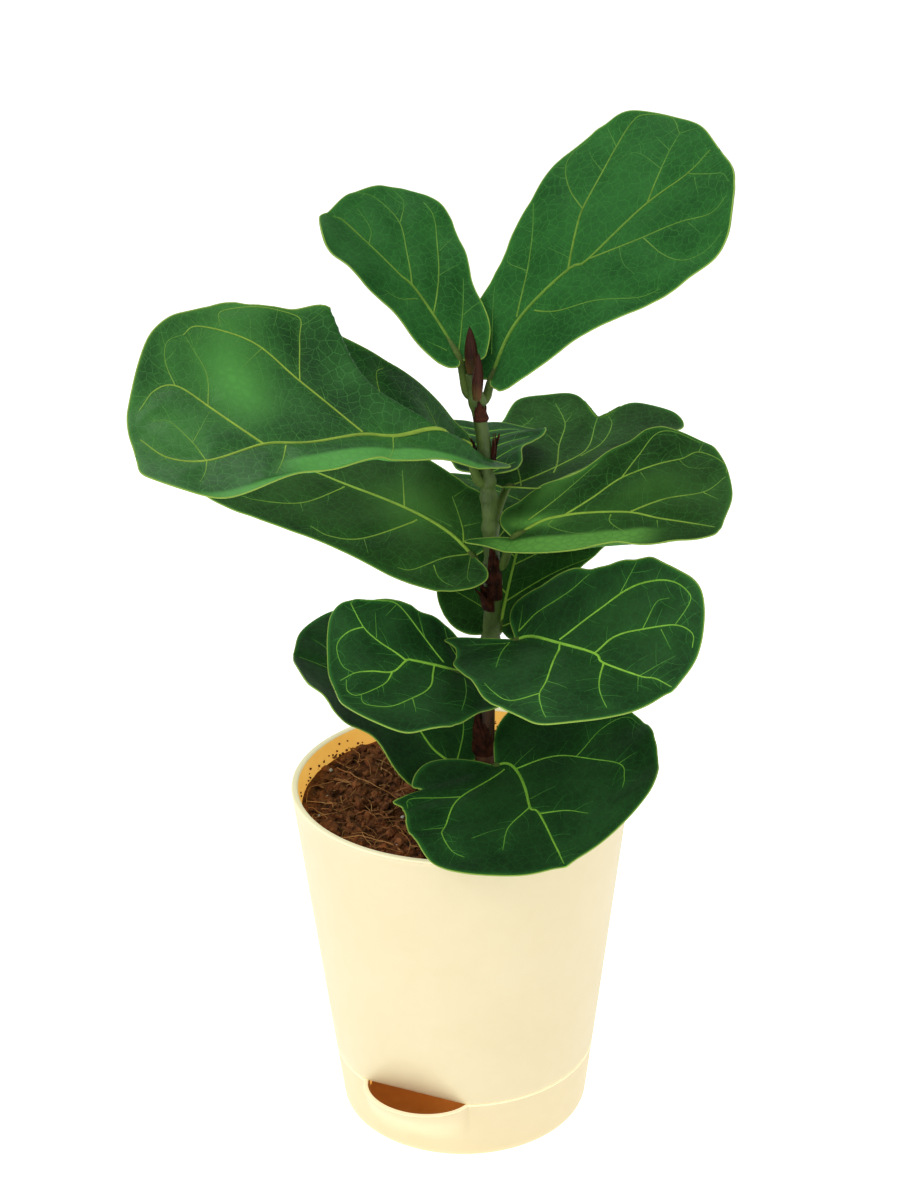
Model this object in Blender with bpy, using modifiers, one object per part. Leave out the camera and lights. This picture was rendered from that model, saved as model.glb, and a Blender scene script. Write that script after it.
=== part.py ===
"""A young fiddle leaf fig in a plain self-watering pot.

Metres, +Z up. The origin is the centre of the tray's underside, and the
watering mouth faces -Y. The plant is laid out in its own frame, where a
heading of 0 degrees points along +X and 90 degrees along +Y, and then turned
by PLANT_TURN about the pot's axis.
"""
import math

import bmesh
import bpy
import numpy as np
from mathutils import Matrix, Vector, noise

# Pot and tray
POT_HEIGHT = 0.1605
RIM_RADIUS = 0.0750
SEAM_RADIUS = 0.0596
BASE_RADIUS = 0.0560
POT_WALL = 0.0030
RIM_ROUND = 0.0009
SEAM_HEIGHT = 0.0295
TRAY_WALL = 0.0026
TRAY_FLOOR = 0.0025
FLOOR_ROUND = 0.0018
SPIGOT_DEPTH = 0.0060
SPIGOT_WALL = 0.0022
POT_FLOOR = 0.0030
FIT_GAP = 0.0003
TURN_STEPS = 60

# Wicking foot under the pot's floor
FOOT_RADIUS = 0.0170
FOOT_WALL = 0.0022
FOOT_CLEARANCE = 0.0010
FOOT_SLOT_WIDTH = 0.0030
FOOT_SLOT_HEIGHT = 0.0100
FOOT_SLOTS = 4

# Watering mouth: the pot is pushed in to a chord, and the tray out to a lip
MOUTH_HALF_ANGLE = math.radians(24.7)
DENT_HEIGHT = 0.0240
DENT_GAP = 0.0008
LIP_REACH = 0.0115
LIP_START = 0.0080

# Soil and plant
SOIL_DROP = 0.0100
SOIL_LUMP = 0.0022
SOIL_RINGS = 6
PLANT_TURN = math.radians(24)
STEM_RADIUS = 0.0046
STEM_TIP_RADIUS = 0.0027
ROOT_DEPTH = 0.0500
ROOT_RADIUS = 0.0016
ROOT_REACH = 0.0330
ROOTS = 5
BLADE = 0.0009
PETIOLE_RADIUS = 0.0018

SEAM_GAP_HEIGHT = SEAM_HEIGHT + FIT_GAP
SOIL_LEVEL = POT_HEIGHT - SOIL_DROP

# The stem's centre line: distance to the side and height above the soil
STEM_PATH = (
    (0.011, 0.000),
    (0.011, 0.038),
    (0.014, 0.081),
    (0.015, 0.100),
    (0.014, 0.132),
    (0.012, 0.163),
    (0.009, 0.185),
    (0.007, 0.197),
)

# Each leaf: height of its node on the stem, where its blade starts (side,
# back, height above the soil), midrib length, then base, middle and tip values
# of heading, pitch and roll in degrees. The pairs are left and right halves:
# half width, lift in degrees at base and tip, curl in degrees, and the outline
# as lobe width, lobe reach, neck width, neck place, belly place, tip width and
# how far the lobe's inner edge stands off the stalk.
LEAVES = {
    "leaf_top_right": dict(
        node=0.184, start=(0.0150, 0.0050, 0.1930), length=0.133,
        heading=(29, 15, 2), pitch=(53, 39, 39), roll=(1, 16, 12),
        wide=(0.056, 0.056), lift=((10, 9), (6, 3)), curl=(2, -3),
        outline=(
            (0.30, 0.02, 0.60, 0.29, 0.65, 0.90, 0.30),
            (0.30, 0.02, 0.62, 0.28, 0.65, 0.89, 0.30),
        ),
    ),
    "leaf_top_left": dict(
        node=0.187, start=(0.0020, 0.0050, 0.2020), length=0.086,
        heading=(128, 143, 163), pitch=(44, 38, 30), roll=(-5, -3, -3),
        wide=(0.033, 0.042), lift=((7, 7), (11, 9)), curl=(6, 5),
        outline=(
            (0.34, 0.05, 0.62, 0.32, 0.67, 0.91, 0.30),
            (0.28, 0.05, 0.61, 0.32, 0.67, 0.92, 0.30),
        ),
    ),
    "leaf_glossy_left": dict(
        node=0.150, start=(0.0030, -0.0060, 0.1630), length=0.158,
        heading=(214, 221, 201), pitch=(33, 8, 7), roll=(-24, -27, -24),
        wide=(0.024, 0.063), lift=((10, 0), (8, 5)), curl=(4, 10),
        outline=(
            (0.43, 0.11, 0.85, 0.36, 0.66, 0.85, 0.30),
            (0.30, 0.04, 0.90, 0.34, 0.62, 0.76, 0.30),
        ),
    ),
    "leaf_shaded_left": dict(
        node=0.104, start=(0.0070, 0.0030, 0.1150), length=0.153,
        heading=(144, 148, 151), pitch=(16, 12, 12), roll=(-23, -8, 7),
        wide=(0.056, 0.052), lift=((2, 6), (12, 6)), curl=(0, 2),
        outline=(
            (0.42, 0.10, 0.65, 0.32, 0.68, 0.90, 0.30),
            (0.38, 0.03, 0.64, 0.32, 0.68, 0.90, 0.30),
        ),
    ),
    "leaf_back_right": dict(
        node=0.129, start=(0.0215, 0.0210, 0.1390), length=0.104,
        heading=(48, 62, 80), pitch=(3, 2, 16), roll=(-2, -1, 7),
        wide=(0.040, 0.041), lift=((8, 9), (10, 7)), curl=(-12, 0),
        outline=(
            (0.42, 0.08, 0.55, 0.34, 0.65, 0.87, 0.30),
            (0.42, 0.08, 0.55, 0.34, 0.66, 0.88, 0.30),
        ),
    ),
    "leaf_middle_right": dict(
        node=0.112, start=(0.0235, -0.0065, 0.1270), length=0.089,
        heading=(-24, -13, -19), pitch=(15, 8, 1), roll=(27, 22, 8),
        wide=(0.056, 0.030), lift=((6, 6), (6, 10)), curl=(4, 22),
        outline=(
            (0.30, 0.07, 0.56, 0.31, 0.64, 0.90, 0.30),
            (0.30, 0.19, 0.58, 0.31, 0.66, 0.90, 0.50),
        ),
    ),
    "leaf_behind_stem": dict(
        node=0.077, start=(0.0180, 0.0090, 0.0790), length=0.096,
        heading=(75, 76, 75), pitch=(37, 20, 3), roll=(2, 3, 3),
        wide=(0.056, 0.047), lift=((11, 5), (9, 3)), curl=(1, -5),
        outline=(
            (0.40, 0.08, 0.62, 0.33, 0.68, 0.90, 0.30),
            (0.41, 0.08, 0.60, 0.33, 0.68, 0.90, 0.30),
        ),
    ),
    "leaf_lower_right": dict(
        node=0.071, start=(0.0245, -0.0115, 0.0820), length=0.099,
        heading=(-65, -53, -41), pitch=(19, 6, -5), roll=(22, 17, 8),
        wide=(0.048, 0.055), lift=((18, 9), (15, 7)), curl=(44, 4),
        outline=(
            (0.47, 0.12, 0.75, 0.32, 0.65, 0.82, 0.30),
            (0.46, 0.16, 0.75, 0.32, 0.67, 0.85, 0.60),
        ),
    ),
    "leaf_round_left": dict(
        node=0.060, start=(0.0060, -0.0132, 0.0654), length=0.070,
        heading=(-126, -150, -168), pitch=(27, 9, -10), roll=(-23, -12, 5),
        wide=(0.046, 0.044), lift=((7, 1), (21, 3)), curl=(-1, 1),
        outline=(
            (0.40, 0.07, 0.65, 0.32, 0.66, 0.88, 0.30),
            (0.38, 0.07, 0.72, 0.31, 0.66, 0.87, 0.30),
        ),
    ),
    "leaf_lowest_left": dict(
        node=0.006, start=(-0.0005, 0.0005, 0.0148), length=0.092,
        heading=(137, 157, 178), pitch=(34, 28, 19), roll=(-7, 1, 5),
        wide=(0.056, 0.049), lift=((5, 10), (9, 8)), curl=(7, 6),
        outline=(
            (0.47, 0.05, 0.62, 0.36, 0.69, 0.91, 0.40),
            (0.45, 0.01, 0.59, 0.35, 0.68, 0.91, 0.60),
        ),
    ),
    "leaf_over_rim": dict(
        node=0.013, start=(0.0150, -0.0120, 0.0225), length=0.088,
        heading=(-51, -75, -74), pitch=(5, -7, -3), roll=(10, 9, 10),
        wide=(0.054, 0.054), lift=((14, 17), (10, 4)), curl=(9, 2),
        outline=(
            (0.76, 0.15, 1.04, 0.34, 0.65, 0.70, 0.30),
            (0.80, 0.15, 1.02, 0.34, 0.65, 0.70, 0.30),
        ),
    ),
    "leaf_small_back": dict(
        node=0.143, start=(0.0140, 0.0090, 0.1500), length=0.062,
        heading=(90, 93, 98), pitch=(11, 0, -3), roll=(0, 1, 5),
        wide=(0.031, 0.027), lift=((9, 4), (8, 0)), curl=(0, -1),
        outline=(
            (0.45, 0.06, 0.55, 0.34, 0.68, 0.90, 0.30),
            (0.44, 0.07, 0.55, 0.34, 0.68, 0.89, 0.30),
        ),
    ),
}
BLADE_ROWS = 8
BLADE_COLUMNS = 3

# Papery remains of the leaf sheaths: height above the soil of the foot, facing
# in degrees, how far round the stem, length, flare and the same name's number
SHEATHS = (
    dict(foot=0.0230, facing=225, wrap=170, length=0.026, flare=0.0004),
    dict(foot=0.0920, facing=215, wrap=110, length=0.014, flare=0.0060),
    dict(foot=0.0970, facing=270, wrap=120, length=0.026, flare=0.0012),
    dict(foot=0.1540, facing=160, wrap=70, length=0.013, flare=0.0020),
    dict(foot=0.1560, facing=350, wrap=70, length=0.015, flare=0.0020),
    dict(foot=0.1770, facing=290, wrap=120, length=0.009, flare=0.0010),
)
SHEATH_WALL = 0.0006

# Closed buds at the top: foot above the soil, side and back of the stem's tip,
# lean to the side in degrees, length and widest radius
BUDS = {
    "terminal_bud": dict(lift=0.0004, side=0.0000, back=0.0000, lean=-2, length=0.0200, radius=0.0034),
    "bud_sheath": dict(lift=-0.0090, side=0.0018, back=-0.0068, lean=3, length=0.0200, radius=0.0029),
}

COLOURS = {
    "pot": ((0.90, 0.78, 0.52), 0.45),
    "tray": ((0.90, 0.76, 0.48), 0.45),
    "soil": ((0.055, 0.028, 0.015), 0.95),
    "stem": ((0.12, 0.19, 0.05), 0.60),
    "leaf": ((0.015, 0.090, 0.018), 0.38),
    "sheath": ((0.10, 0.025, 0.015), 0.75),
    "bud": ((0.16, 0.055, 0.03), 0.60),
}


def clear_scene():
    for obj in list(bpy.data.objects):
        bpy.data.objects.remove(obj, do_unlink=True)


def new_collection(name, hidden=False):
    collection = bpy.data.collections.new(name)
    bpy.context.scene.collection.children.link(collection)
    collection.hide_render = hidden
    return collection


def material(name):
    found = bpy.data.materials.get(name)
    if found:
        return found
    made = bpy.data.materials.new(name)
    made.use_nodes = True
    colour, roughness = COLOURS[name]
    shader = made.node_tree.nodes["Principled BSDF"]
    shader.inputs["Base Color"].default_value = (*colour, 1)
    shader.inputs["Roughness"].default_value = roughness
    shader.inputs["Metallic"].default_value = 0
    return made


def add_object(name, data, collection, look=None):
    obj = bpy.data.objects.new(name, data)
    collection.objects.link(obj)
    if look:
        data.materials.append(material(look))
    return obj


def applied(obj):
    """Replaces the object's mesh with its evaluated one."""
    graph = bpy.context.evaluated_depsgraph_get()
    mesh = bpy.data.meshes.new_from_object(obj.evaluated_get(graph))
    obj.modifiers.clear()
    obj.data = mesh
    return obj


def mesh_of_curve(obj, collection, name):
    """A closed mesh object made from a curve object, which is removed."""
    graph = bpy.context.evaluated_depsgraph_get()
    mesh = bpy.data.meshes.new_from_object(obj.evaluated_get(graph))
    work = bmesh.new()
    work.from_mesh(mesh)
    bmesh.ops.remove_doubles(work, verts=work.verts, dist=0.00002)
    bmesh.ops.recalc_face_normals(work, faces=work.faces)
    work.to_mesh(mesh)
    work.free()
    made = bpy.data.objects.new(name, mesh)
    made.matrix_world = obj.matrix_world
    collection.objects.link(made)
    bpy.data.objects.remove(obj, do_unlink=True)
    return made


def join_solid(target, other, operation="UNION"):
    """Applies a Boolean of another mesh object, which is removed after it."""
    cut = target.modifiers.new(operation.lower(), "BOOLEAN")
    cut.operation = operation
    cut.object = other
    applied(target)
    bpy.data.objects.remove(other, do_unlink=True)


def smooth_sides(obj, angle=35):
    obj.data.shade_smooth()
    obj.data.set_sharp_from_angle(angle=math.radians(angle))


def ease(value, low, high):
    share = min(max((value - low) / (high - low), 0.0), 1.0)
    return share * share * (3 - 2 * share)


def curved_line(points, count):
    """Points along a Catmull-Rom curve through the given ones."""
    given = np.array(points, float)
    ends = np.vstack([2 * given[0] - given[1], given, 2 * given[-1] - given[-2]])
    spans = len(given) - 1
    line = []
    for place in np.linspace(0, spans, count):
        index = min(int(place), spans - 1)
        u = place - index
        a, b, c, d = ends[index:index + 4]
        line.append(
            0.5 * (2 * b + (c - a) * u + (2 * a - 5 * b + 4 * c - d) * u ** 2
                   + (3 * b - a - 3 * c + d) * u ** 3)
        )
    return np.array(line)


def tube(name, points, radii, collection, sides=3):
    """A closed mesh tube through the points, with a radius at each."""
    curve = bpy.data.curves.new(name, "CURVE")
    curve.dimensions = "3D"
    curve.bevel_depth = 1.0
    curve.bevel_resolution = sides - 2
    curve.use_fill_caps = True
    line = curve.splines.new("POLY")
    line.points.add(len(points) - 1)
    for point, place, radius in zip(line.points, points, radii):
        point.co = (*place, 1)
        point.radius = radius
    return mesh_of_curve(add_object(name + "_line", curve, collection), collection, name)


def turned(name, profile, collection, look, steps=TURN_STEPS):
    """A closed solid from a closed profile of (radius, height) points."""
    mesh = bpy.data.meshes.new(name)
    work = bmesh.new()
    points = [work.verts.new((radius, 0, height)) for radius, height in profile]
    closed = profile[0][0] > 0 and profile[-1][0] > 0
    ends = points[1:] + points[:1] if closed else points[1:]
    for first, second in zip(points, ends):
        work.edges.new((first, second))
    work.to_mesh(mesh)
    work.free()
    obj = add_object(name, mesh, collection, look)
    screw = obj.modifiers.new("turn", "SCREW")
    screw.steps = steps
    screw.render_steps = steps
    screw.use_merge_vertices = True
    screw.merge_threshold = 0.00001
    return applied(obj)


def outer_radius(height):
    """The pot's tapered outside, and the tray's below the seam."""
    if height >= SEAM_HEIGHT:
        share = (height - SEAM_HEIGHT) / (POT_HEIGHT - SEAM_HEIGHT)
        return SEAM_RADIUS + (RIM_RADIUS - SEAM_RADIUS) * share
    return BASE_RADIUS + (SEAM_RADIUS - BASE_RADIUS) * height / SEAM_HEIGHT


def front_angle(x, y):
    """Angle about the axis from the front, -Y."""
    return math.atan2(x, -y)


def dent_push(x, y, height):
    """How far the pot is pushed in above the mouth, at this place."""
    angle = front_angle(x, y)
    if abs(angle) > math.pi / 3:
        return 0.0
    above = max(height - SEAM_HEIGHT, 0.0) / DENT_HEIGHT
    if above >= 1:
        return 0.0
    full = outer_radius(SEAM_HEIGHT)
    chord = full * math.cos(MOUTH_HALF_ANGLE)
    distance = chord + (outer_radius(SEAM_HEIGHT + DENT_HEIGHT) - chord) * above
    return max(outer_radius(max(height, SEAM_HEIGHT)) - distance / math.cos(angle), 0.0)


def soil_push(x, y, height):
    """The soil keeps a little further off the pot's wall where that is pushed in."""
    near = abs(front_angle(x, y)) < 1.5 * MOUTH_HALF_ANGLE
    low = height < SEAM_HEIGHT + 1.1 * DENT_HEIGHT
    return dent_push(x, y, height) + (DENT_GAP if near and low else 0.0)


def lip_push(x, y, height):
    """How far the tray's wall bulges out under the mouth, at this place."""
    share = abs(front_angle(x, y)) / MOUTH_HALF_ANGLE
    if share >= 1:
        return 0.0
    return LIP_REACH * (1 - share ** 2) ** 0.75 * ease(height, LIP_START, SEAM_HEIGHT)


def push_wall(obj, push, sign):
    """Moves the wall's points along their radius by push, in or out."""
    wall = FOOT_RADIUS * 1.5
    for vertex in obj.data.vertices:
        x, y, z = vertex.co
        radius = math.hypot(x, y)
        if radius < wall:
            continue
        moved = radius + sign * push(x, y, z)
        vertex.co.x = x * moved / radius
        vertex.co.y = y * moved / radius


def cutter_box(name, size, place, turn, collection):
    work = bmesh.new()
    bmesh.ops.create_cube(work, size=1.0)
    mesh = bpy.data.meshes.new(name)
    work.to_mesh(mesh)
    work.free()
    mesh.transform(Matrix.Rotation(turn, 4, "Z") @ Matrix.Translation(place) @ Matrix.Diagonal((*size, 1)))
    return add_object(name, mesh, collection)


def spigot_radius():
    """Outside of the pot's spigot, which hangs inside the tray's wall."""
    return outer_radius(SEAM_HEIGHT - SPIGOT_DEPTH) - TRAY_WALL - FIT_GAP


def pot_heights():
    """Heights of the rings along the pot's wall, closer together over the mouth."""
    low = SEAM_HEIGHT + POT_FLOOR + 0.0015
    dent_top = SEAM_HEIGHT + DENT_HEIGHT
    near = [low + (dent_top - low) * step / 4 for step in range(5)]
    above = [dent_top + (POT_HEIGHT - dent_top) * step / 4 for step in (1, 2, 3)]
    return near + above


def make_pot(parts, cutters):
    top = POT_HEIGHT
    rings = pot_heights()
    foot_bottom = TRAY_FLOOR + FOOT_CLEARANCE
    foot_floor = foot_bottom + FOOT_WALL
    floor_low = SEAM_GAP_HEIGHT
    floor_top = SEAM_HEIGHT + POT_FLOOR
    spigot = spigot_radius()
    profile = [
        (RIM_RADIUS - POT_WALL + RIM_ROUND, top),
        (RIM_RADIUS - RIM_ROUND, top),
        (RIM_RADIUS, top - RIM_ROUND),
    ]
    profile += [(outer_radius(z), z) for z in reversed(rings)]
    profile += [
        (outer_radius(floor_low), floor_low),
        (spigot, floor_low),
        (spigot, SEAM_HEIGHT - SPIGOT_DEPTH),
        (spigot - SPIGOT_WALL, SEAM_HEIGHT - SPIGOT_DEPTH),
        (spigot - SPIGOT_WALL, floor_low),
        (FOOT_RADIUS, floor_low),
        (FOOT_RADIUS, foot_bottom),
        (0, foot_bottom),
    ]
    inner = [
        (0, foot_floor),
        (FOOT_RADIUS - FOOT_WALL, foot_floor),
        (FOOT_RADIUS - FOOT_WALL, floor_top),
        (outer_radius(floor_top) - POT_WALL - 0.0015, floor_top),
    ]
    inner += [(outer_radius(z) - POT_WALL, z) for z in rings]
    inner += [(RIM_RADIUS - POT_WALL, top - RIM_ROUND)]
    return turned_shell("pot_body", profile, inner, parts, cutters)


def turned_shell(name, outer, inner, parts, cutters):
    """The pot's solid: outer and inner surfaces that both reach the axis."""
    mesh = bpy.data.meshes.new(name)
    work = bmesh.new()
    outside = [work.verts.new((radius, 0, height)) for radius, height in outer]
    inside = [work.verts.new((radius, 0, height)) for radius, height in inner]
    for line in (outside, inside):
        for first, second in zip(line, line[1:]):
            work.edges.new((first, second))
    work.edges.new((inside[-1], outside[0]))
    work.to_mesh(mesh)
    work.free()
    pot = add_object(name, mesh, parts, "pot")
    screw = pot.modifiers.new("turn", "SCREW")
    screw.steps = TURN_STEPS
    screw.render_steps = TURN_STEPS
    screw.use_merge_vertices = True
    screw.merge_threshold = 0.00001
    applied(pot)
    push_wall(pot, dent_push, -1)
    slot_top = TRAY_FLOOR + FOOT_CLEARANCE + FOOT_WALL + FOOT_SLOT_HEIGHT
    slot_low = TRAY_FLOOR + FOOT_CLEARANCE + FOOT_WALL
    for index in range(FOOT_SLOTS):
        size = (4 * FOOT_WALL, FOOT_SLOT_WIDTH, slot_top - slot_low)
        place = (FOOT_RADIUS - FOOT_WALL / 2, 0, (slot_top + slot_low) / 2)
        turn = 2 * math.pi * (index + 0.5) / FOOT_SLOTS
        join_solid(pot, cutter_box("slot_cutter", size, place, turn, cutters), "DIFFERENCE")
    return pot


def cut_spigot(pot, cutters):
    """Takes the spigot away across the mouth, so that water runs into the tray."""
    half = SEAM_RADIUS * math.sin(MOUTH_HALF_ANGLE)
    deep = SEAM_RADIUS / 2
    size = (2 * half, deep, SPIGOT_DEPTH * 2)
    place = (0, -SEAM_RADIUS, SEAM_GAP_HEIGHT - SPIGOT_DEPTH)
    join_solid(pot, cutter_box("mouth_cutter", size, place, 0, cutters), "DIFFERENCE")


def make_tray(parts):
    lip_heights = [LIP_START + (SEAM_HEIGHT - LIP_START) * step / 5 for step in range(5)]
    top = SEAM_HEIGHT
    outer = [(outer_radius(top) - 0.0006, top), (outer_radius(top), top - 0.0006)]
    outer += [(outer_radius(z), z) for z in reversed(lip_heights)]
    outer += [(BASE_RADIUS, FLOOR_ROUND), (BASE_RADIUS - FLOOR_ROUND * 0.3, FLOOR_ROUND * 0.3)]
    outer += [(BASE_RADIUS - FLOOR_ROUND, 0), (0, 0)]
    inner = [(0, TRAY_FLOOR), (outer_radius(TRAY_FLOOR) - TRAY_WALL - 0.001, TRAY_FLOOR)]
    inner += [(outer_radius(z) - TRAY_WALL, z) for z in (TRAY_FLOOR + 0.001, *lip_heights)]
    inner += [(outer_radius(top) - TRAY_WALL, top)]
    mesh = bpy.data.meshes.new("water_tray")
    work = bmesh.new()
    loop = [work.verts.new((radius, 0, height)) for radius, height in outer]
    well = [work.verts.new((radius, 0, height)) for radius, height in inner]
    for line in (loop, well):
        for first, second in zip(line, line[1:]):
            work.edges.new((first, second))
    work.edges.new((well[-1], loop[0]))
    work.to_mesh(mesh)
    work.free()
    tray = add_object("water_tray", mesh, parts, "tray")
    screw = tray.modifiers.new("turn", "SCREW")
    screw.steps = TURN_STEPS
    screw.render_steps = TURN_STEPS
    screw.use_merge_vertices = True
    screw.merge_threshold = 0.00001
    applied(tray)
    push_wall(tray, lip_push, 1)
    smooth_sides(tray)
    return tray


def soil_lump(x, y):
    coarse = noise.noise(Vector((x, y, 0)) * 90)
    fine = noise.noise(Vector((x, y, 0.3)) * 240)
    return SOIL_LUMP * (coarse + 0.5 * fine)


def make_soil(parts):
    wall_gap = POT_WALL + FIT_GAP
    foot_floor = TRAY_FLOOR + FOOT_CLEARANCE + FOOT_WALL + FIT_GAP
    foot_radius = FOOT_RADIUS - FOOT_WALL - FIT_GAP
    low = SEAM_HEIGHT + POT_FLOOR + FIT_GAP
    edge = outer_radius(SOIL_LEVEL) - wall_gap
    profile = [(0, SOIL_LEVEL)]
    profile += [(edge * ring / SOIL_RINGS, SOIL_LEVEL) for ring in range(1, SOIL_RINGS)]
    profile += [(edge, SOIL_LEVEL - 0.001)]
    profile += [(outer_radius(z) - wall_gap, z) for z in reversed(pot_heights()) if z < SOIL_LEVEL - 0.004]
    profile += [
        (outer_radius(low) - wall_gap - 0.0015, low),
        (foot_radius, low),
        (foot_radius, foot_floor),
        (0, foot_floor),
    ]
    soil = turned("soil", profile, parts, "soil", TURN_STEPS)
    for vertex in soil.data.vertices:
        x, y, z = vertex.co
        inside = 1 - ease(math.hypot(x, y), edge * 0.80, edge * 0.99)
        if z > SOIL_LEVEL - 0.0001:
            vertex.co.z = z + inside * soil_lump(x, y)
    push_wall(soil, soil_push, -1)
    return soil


def stem_point(height):
    """Centre of the stem at a height above the soil, in the plant's frame."""
    sides, heights = zip(*STEM_PATH)
    side = np.interp(height, heights, sides)
    return Vector((side, 0, SOIL_LEVEL + height))


def stem_radius(height):
    share = min(max(height / STEM_PATH[-1][1], 0), 1)
    return STEM_RADIUS + (STEM_TIP_RADIUS - STEM_RADIUS) * share


def root_lines():
    """Centre lines of the roots, from the buried foot of the stem."""
    lines = []
    side = STEM_PATH[0][0]
    for index in range(ROOTS):
        angle = 2 * math.pi * (index + 0.3) / ROOTS
        start = -0.5 * ROOT_DEPTH - 0.06 * ROOT_DEPTH * index
        line = []
        for step in range(6):
            share = step / 5
            reach = ROOT_REACH * share
            drop = start - 0.7 * ROOT_DEPTH * share ** 1.6
            bend = angle + 0.5 * share
            line.append((side + reach * math.cos(bend), reach * math.sin(bend), SOIL_LEVEL + drop))
        lines.append(line)
    return lines


def stem_solid(name, collection, extra, above):
    """The stem with its buried foot and roots, all thicker by extra."""
    heights = [-ROOT_DEPTH - extra, -ROOT_DEPTH * 0.96, -ROOT_DEPTH * 0.5, -0.004]
    heights += [h for h in np.linspace(0.012, STEM_PATH[-1][1], 12) if h <= above]
    foot = {0: 0.35, 1: 0.6, 2: 0.85, 3: 1.05}
    points = [(stem_point(h) if h >= 0 else stem_point(0) + Vector((0, 0, h))) for h in heights]
    radii = [stem_radius(h) * foot.get(i, 1.0) + extra for i, h in enumerate(heights)]
    stem = tube(name, [tuple(p) for p in points], radii, collection, sides=4)
    for index, line in enumerate(root_lines()):
        root_radii = [(ROOT_RADIUS * (1 - 0.7 * step / 5)) + extra for step in range(6)]
        join_solid(stem, tube(f"{name}_root_{index}", line, root_radii, collection))
    return stem


def cut_soil_for_roots(soil, cutters, holder):
    channels = stem_solid("root_channels", cutters, FIT_GAP, 0.020)
    channels.data.transform(holder.matrix_world)
    join_solid(soil, channels, "DIFFERENCE")


def three_way(values, share):
    """A quadratic through base, middle and tip values."""
    base, middle, tip = values
    share = np.clip(share, 0, 1)
    return base * (1 - share) * (1 - 2 * share) + middle * 4 * share * (1 - share) + tip * share * (2 * share - 1)


def leaf_place(leaf, along, across):
    """Places on the blade: along as a share of the midrib, across in metres, left positive."""
    steps = 48
    middles = (np.arange(steps) + 0.5) / steps
    heading = np.radians(three_way(leaf["heading"], middles))
    pitch = np.radians(three_way(leaf["pitch"], middles))
    ahead = np.stack([np.cos(heading) * np.cos(pitch), np.sin(heading) * np.cos(pitch), np.sin(pitch)], 1)
    side, back, height = leaf["start"]
    line = np.vstack([[0, 0, 0], np.cumsum(ahead, 0) * leaf["length"] / steps])
    line += (side, back, SOIL_LEVEL + height)
    on = np.clip(along, 0, 1)
    marks = np.linspace(0, 1, steps + 1)
    place = np.stack([np.interp(on, marks, line[:, axis]) for axis in range(3)], -1)
    heading = np.radians(three_way(leaf["heading"], on))
    pitch = np.radians(three_way(leaf["pitch"], on))
    roll = np.radians(three_way(leaf["roll"], on))
    ahead = np.stack([np.cos(heading) * np.cos(pitch), np.sin(heading) * np.cos(pitch), np.sin(pitch)], -1)
    level = np.stack([-np.sin(heading), np.cos(heading), 0 * heading], -1)
    up = np.cross(ahead, level)
    left = level * np.cos(roll)[..., None] + up * np.sin(roll)[..., None]
    normal = up * np.cos(roll)[..., None] - level * np.sin(roll)[..., None]
    on_left = across >= 0
    lifts = np.where(on_left, leaf["lift"][0][0], leaf["lift"][1][0])
    ends = np.where(on_left, leaf["lift"][0][1], leaf["lift"][1][1])
    wide = np.where(on_left, leaf["wide"][0], leaf["wide"][1])
    curl = np.where(on_left, leaf["curl"][0], leaf["curl"][1])
    bend = np.radians(lifts + (ends - lifts) * on + 0.5 * curl * np.abs(across) / wide)
    behind = (along - on) * leaf["length"]
    place = place + ahead * behind[..., None]
    place = place + left * (across * np.cos(bend))[..., None]
    rise = np.abs(across) * np.sin(bend) - behind * math.sin(math.radians(20))
    return place + normal * rise[..., None]


def half_outline(outline):
    """Margin of one half as (along, share of the half width), base to tip."""
    lobe, reach, neck, neck_at, belly, tip, sinus = outline
    return (
        (0.0, 0.0),
        (-0.85 * reach, sinus * lobe),
        (-reach, (sinus + 0.32) * lobe),
        (-0.45 * reach, 0.95 * lobe),
        (0.10, 0.60 * lobe + 0.46 * neck),
        (neck_at, neck),
        (0.5 * (neck_at + belly) + 0.02, 0.5 * (neck + 1) + 0.03),
        (belly, 1.0),
        (belly + 0.62 * (1 - belly), 0.5 + 0.5 * tip),
        (0.988, 0.52 * tip),
        (1.0, 0.0),
    )


def blade_grid(leaf, rows, columns):
    """Grid of (along, across) over the whole blade, left margin to right."""
    halves = []
    for half, sign in ((0, 1), (1, -1)):
        margin = curved_line(half_outline(leaf["outline"][half]), rows * 8 + 1)[4::8][:rows]
        grid = []
        for row, (along, across) in enumerate(margin):
            station = (row + 0.15) / rows
            shares = np.linspace(0, 1, columns + 1)
            grid.append(np.stack([
                station + (along - station) * shares,
                sign * across * leaf["wide"][half] * shares,
            ], -1))
        halves.append(np.array(grid))
    return np.concatenate([halves[0][:, ::-1], halves[1][:, 1:]], 1)


def petiole_line(leaf):
    """Centre line of the leaf stalk from the stem, running on under the midrib."""
    share = np.array([0.0, 0.12, 0.35, 0.60, 0.85])
    midrib = leaf_place(leaf, share, 0 * share) - np.array((0, 0, 0.15 * PETIOLE_RADIUS))
    start = Vector(midrib[0])
    centre = stem_point(leaf["node"])
    out = Vector((start.x - centre.x, start.y - centre.y, 0)).normalized()
    rise = Vector((0, 0, start.z - centre.z))
    slope = math.atan2(rise.z, (Vector((start.x - centre.x, start.y - centre.y, 0))).length)
    clear = stem_radius(leaf["node"]) + FIT_GAP + PETIOLE_RADIUS * math.sin(abs(slope)) + 0.0002
    foot = centre + out * clear
    return [tuple(foot)] + [tuple(point) for point in midrib]


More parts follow.
